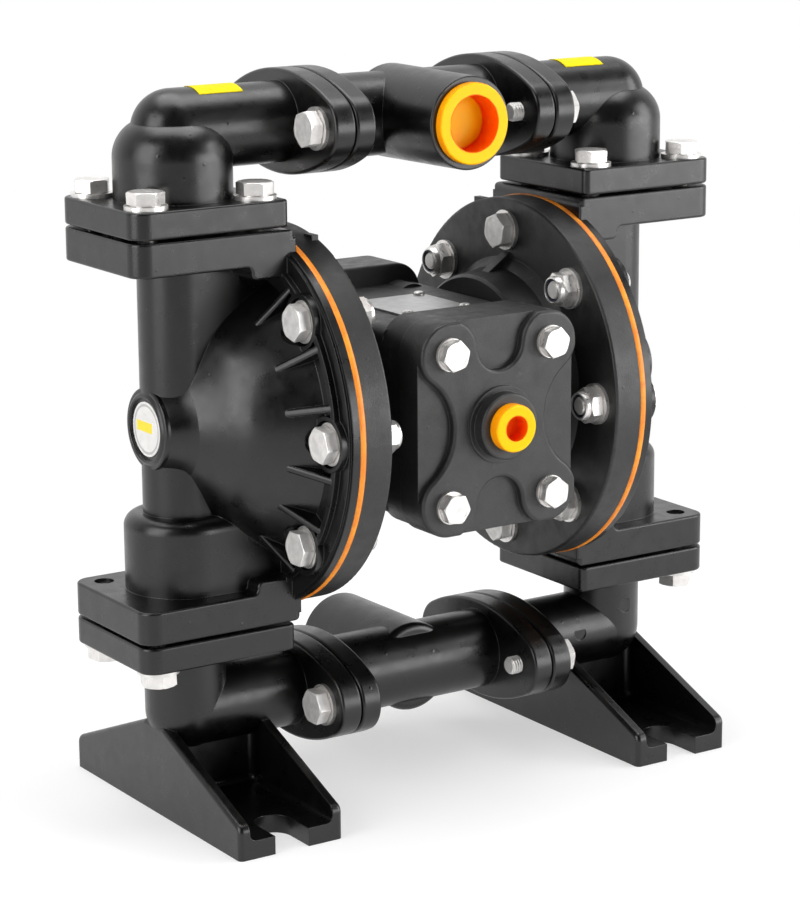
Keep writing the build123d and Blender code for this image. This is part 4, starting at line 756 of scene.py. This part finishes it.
# ---- rings about the long axis -------------------------------------------------
def lathe_mesh(name, profile, side):
    """Closed ring about the pump's long axis from (x, radius) points in millimetres."""
    bm = bmesh.new()
    rings = []
    for x, radius in profile:
        points = [axis_point(side, x, radius, angle) for angle in round_angles(LATHE_COUNT)]
        rings.append([bm.verts.new(point) for point in points])
    for index, ring in enumerate(rings):
        bridge(bm, ring, rings[(index + 1) % len(rings)])
    bmesh.ops.recalc_face_normals(bm, faces=bm.faces)
    crisp_edges(bm, 50.0)
    return finished_mesh(bm, name)


def make_rim_beads():
    """The soft rim of each diaphragm swells a little out of the joint between the caps."""
    profile = []
    for step in range(BEAD_STEPS + 1):
        angle = math.pi * step / BEAD_STEPS
        radius = RIM_R - BEAD_SINK + BEAD_SWELL * math.sin(angle)
        profile.append((RIM_JOINT_X - BEAD_HALF_W * math.cos(angle), radius))
    foot_r = RIM_R - BEAD_FOOT_DEPTH
    profile += [(RIM_JOINT_X + BEAD_FOOT_HALF_W, foot_r), (RIM_JOINT_X - BEAD_FOOT_HALF_W, foot_r)]
    for side, label in SIDES:
        mesh = lathe_mesh("rim_bead_" + label, profile, side)
        new_piece("rim_bead_" + label, mesh, "pump", [ORANGE])


def make_boss_collars():
    """Rounded rim round each label recess that flows back into the dome and column."""
    outside = [(120.6, 12.5), (121.05, 13.0), (121.0, 13.5), (120.6, 14.2), (119.9, 15.1), (118.8, 16.1)]
    outside += [(117.4, 17.0), (115.6, 18.1), (113.4, 19.4), (111.0, 20.9), (108.4, 23.4)]
    hidden = [(108.4, 18.0), (119.2, 14.0), (119.7, 12.4)]
    for side, label in SIDES:
        mesh = lathe_mesh("boss_collar_" + label, outside + hidden, side)
        new_piece("boss_collar_" + label, mesh, "pump", [CAST])


# ---- flexing diaphragms --------------------------------------------------------
def diaphragm_profile():
    """Section of the flexing skin, (x, radius): flat rim, one fold, flat centre."""
    radii = [SKIN_OUTER_R, 66.0, FOLD_OUT_R]
    fold_width = FOLD_IN_R - FOLD_OUT_R
    radii += [FOLD_OUT_R + fold_width * step / FOLD_STEPS for step in range(1, FOLD_STEPS + 1)]
    radii += [24.0, 14.0, SKIN_HOLE_R]
    middle = []
    for radius in radii:
        share = (radius - FOLD_IN_R) / (FOLD_OUT_R - FOLD_IN_R)
        sag = FOLD_SAG * math.sin(math.pi * share) ** 2 if 0.0 < share < 1.0 else 0.0
        middle.append((RIM_JOINT_X - sag, radius))
    air_side = [(x - SKIN_HALF_T, radius) for x, radius in middle]
    fluid_side = [(x + SKIN_HALF_T, radius) for x, radius in reversed(middle)]
    return air_side + fluid_side


def wedge_mesh(name, profile, side, index):
    """One closed slice of a diaphragm."""
    wedge = 2 * math.pi / WEDGES
    bm = bmesh.new()
    rings = []
    for step in range(WEDGE_STEPS + 1):
        angle = wedge * (index + step / WEDGE_STEPS)
        rings.append([bm.verts.new(axis_point(side, x, radius, angle)) for x, radius in profile])
    for low, high in zip(rings, rings[1:]):
        bridge(bm, low, high)
    bm.faces.new(rings[0])
    bm.faces.new(rings[-1])
    bmesh.ops.recalc_face_normals(bm, faces=bm.faces)
    crisp_edges(bm, 40.0)
    return finished_mesh(bm, name)


def make_diaphragms():
    """Each diaphragm in wedges, one closed slice each."""
    profile = diaphragm_profile()
    for side, label in SIDES:
        for index in range(WEDGES):
            name = "diaphragm_skin_" + label + "_" + str(index)
            mesh = wedge_mesh(name, profile, side, index)
            mesh.materials.append(ORANGE)
            piece = bpy.data.objects.new(name, mesh)
            scene.collection.objects.link(piece)
            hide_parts("diaphragm_" + label)
            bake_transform(piece)


# ---- floor, backdrop and light -----------------------------------------------
def stage_material():
    """White ground that keeps soft shadows near the object and fades to pure white."""
    material = bpy.data.materials.new("floor_white")
    material.use_nodes = True
    graph = Graph(material.node_tree)
    output = graph.node("OutputMaterial")
    ground = graph.node("BsdfDiffuse")
    ground.inputs["Color"].default_value = grey(FLOOR_GREY)
    lit = graph.node("BsdfDiffuse")
    lit.inputs["Color"].default_value = grey(FLOOR_LIT)
    base = graph.node("Emission")
    base.inputs["Strength"].default_value = FLOOR_BASE
    near = graph.node("AddShader")
    graph.link(lit.outputs["BSDF"], near.inputs[0])
    graph.link(base.outputs["Emission"], near.inputs[1])
    white = graph.node("Emission")
    white.inputs["Strength"].default_value = 1.0
    away = graph.node("VectorMath", operation="LENGTH")
    graph.link(graph.node("TexCoord").outputs["Object"], away.inputs[0])
    fade = graph.fit(away.outputs["Value"], FADE_FROM, FADE_TO, interpolation_type="SMOOTHSTEP")
    seen = graph.mix(fade, near.outputs["Shader"], white.outputs["Emission"])
    path = graph.node("LightPath").outputs
    eye = graph.maths("MAXIMUM", path["Is Camera Ray"], path["Is Glossy Ray"])
    eye = graph.maths("MAXIMUM", eye, path["Is Transmission Ray"])
    graph.link(graph.mix(eye, ground.outputs["BSDF"], seen), output.inputs["Surface"])
    return material


def make_stage():
    mesh = bpy.data.meshes.new("floor")
    low, high = -FLOOR_HALF, FLOOR_HALF
    mesh.from_pydata([(low, low, 0), (high, low, 0), (high, high, 0), (low, high, 0)], [], [(0, 1, 2, 3)])
    floor = bpy.data.objects.new("floor", mesh)
    mesh.materials.append(stage_material())
    scene.collection.objects.link(floor)


def make_world():
    """White for the camera, a white horizon with a dark front side for reflections."""
    world = bpy.data.worlds.new("studio")
    scene.world = world
    world.use_nodes = True
    graph = Graph(world.node_tree)
    output = graph.node("OutputWorld")
    ambient = graph.node("Background")
    ambient.inputs["Color"].default_value = grey(AMBIENT)
    front = graph.vector_maths("DOT_PRODUCT", graph.node("TexCoord").outputs["Generated"], BACK_WAY)
    ramp = graph.fit(front.outputs["Value"], -0.35, 0.75, 0.03, 1.0, interpolation_type="SMOOTHSTEP")
    mirrored = graph.node("Background")
    mirrored.inputs["Color"].default_value = grey(1.0)
    graph.link(ramp, mirrored.inputs["Strength"])
    white = graph.node("Background")
    white.inputs["Color"].default_value = grey(1.0)
    path = graph.node("LightPath").outputs
    glossy = graph.mix(path["Is Glossy Ray"], ambient.outputs["Background"], mirrored.outputs["Background"])
    eye = graph.maths("MAXIMUM", path["Is Camera Ray"], path["Is Transmission Ray"])
    graph.link(graph.mix(eye, glossy, white.outputs["Background"]), output.inputs["Surface"])


def softbox(name, place_m, width, height, watts):
    """A soft lamp, unseen by the camera, that faces the pump."""
    data = bpy.data.lights.new(name, "AREA")
    data.shape = "RECTANGLE"
    data.size = width
    data.size_y = height
    data.energy = watts
    light = bpy.data.objects.new(name, data)
    light.visible_camera = False
    direction = Vector(CENTRE) - Vector(place_m)
    turn = direction.to_track_quat("-Z", "Y").to_matrix().to_4x4()
    light.matrix_world = Matrix.Translation(place_m) @ turn
    scene.collection.objects.link(light)


add_camera()
dress_nodes()
make_fasteners()
make_rim_beads()
make_boss_collars()
make_diaphragms()
make_stage()
make_world()
for box in SOFTBOXES:
    softbox(*box)
scene.view_settings.view_transform = "Standard"
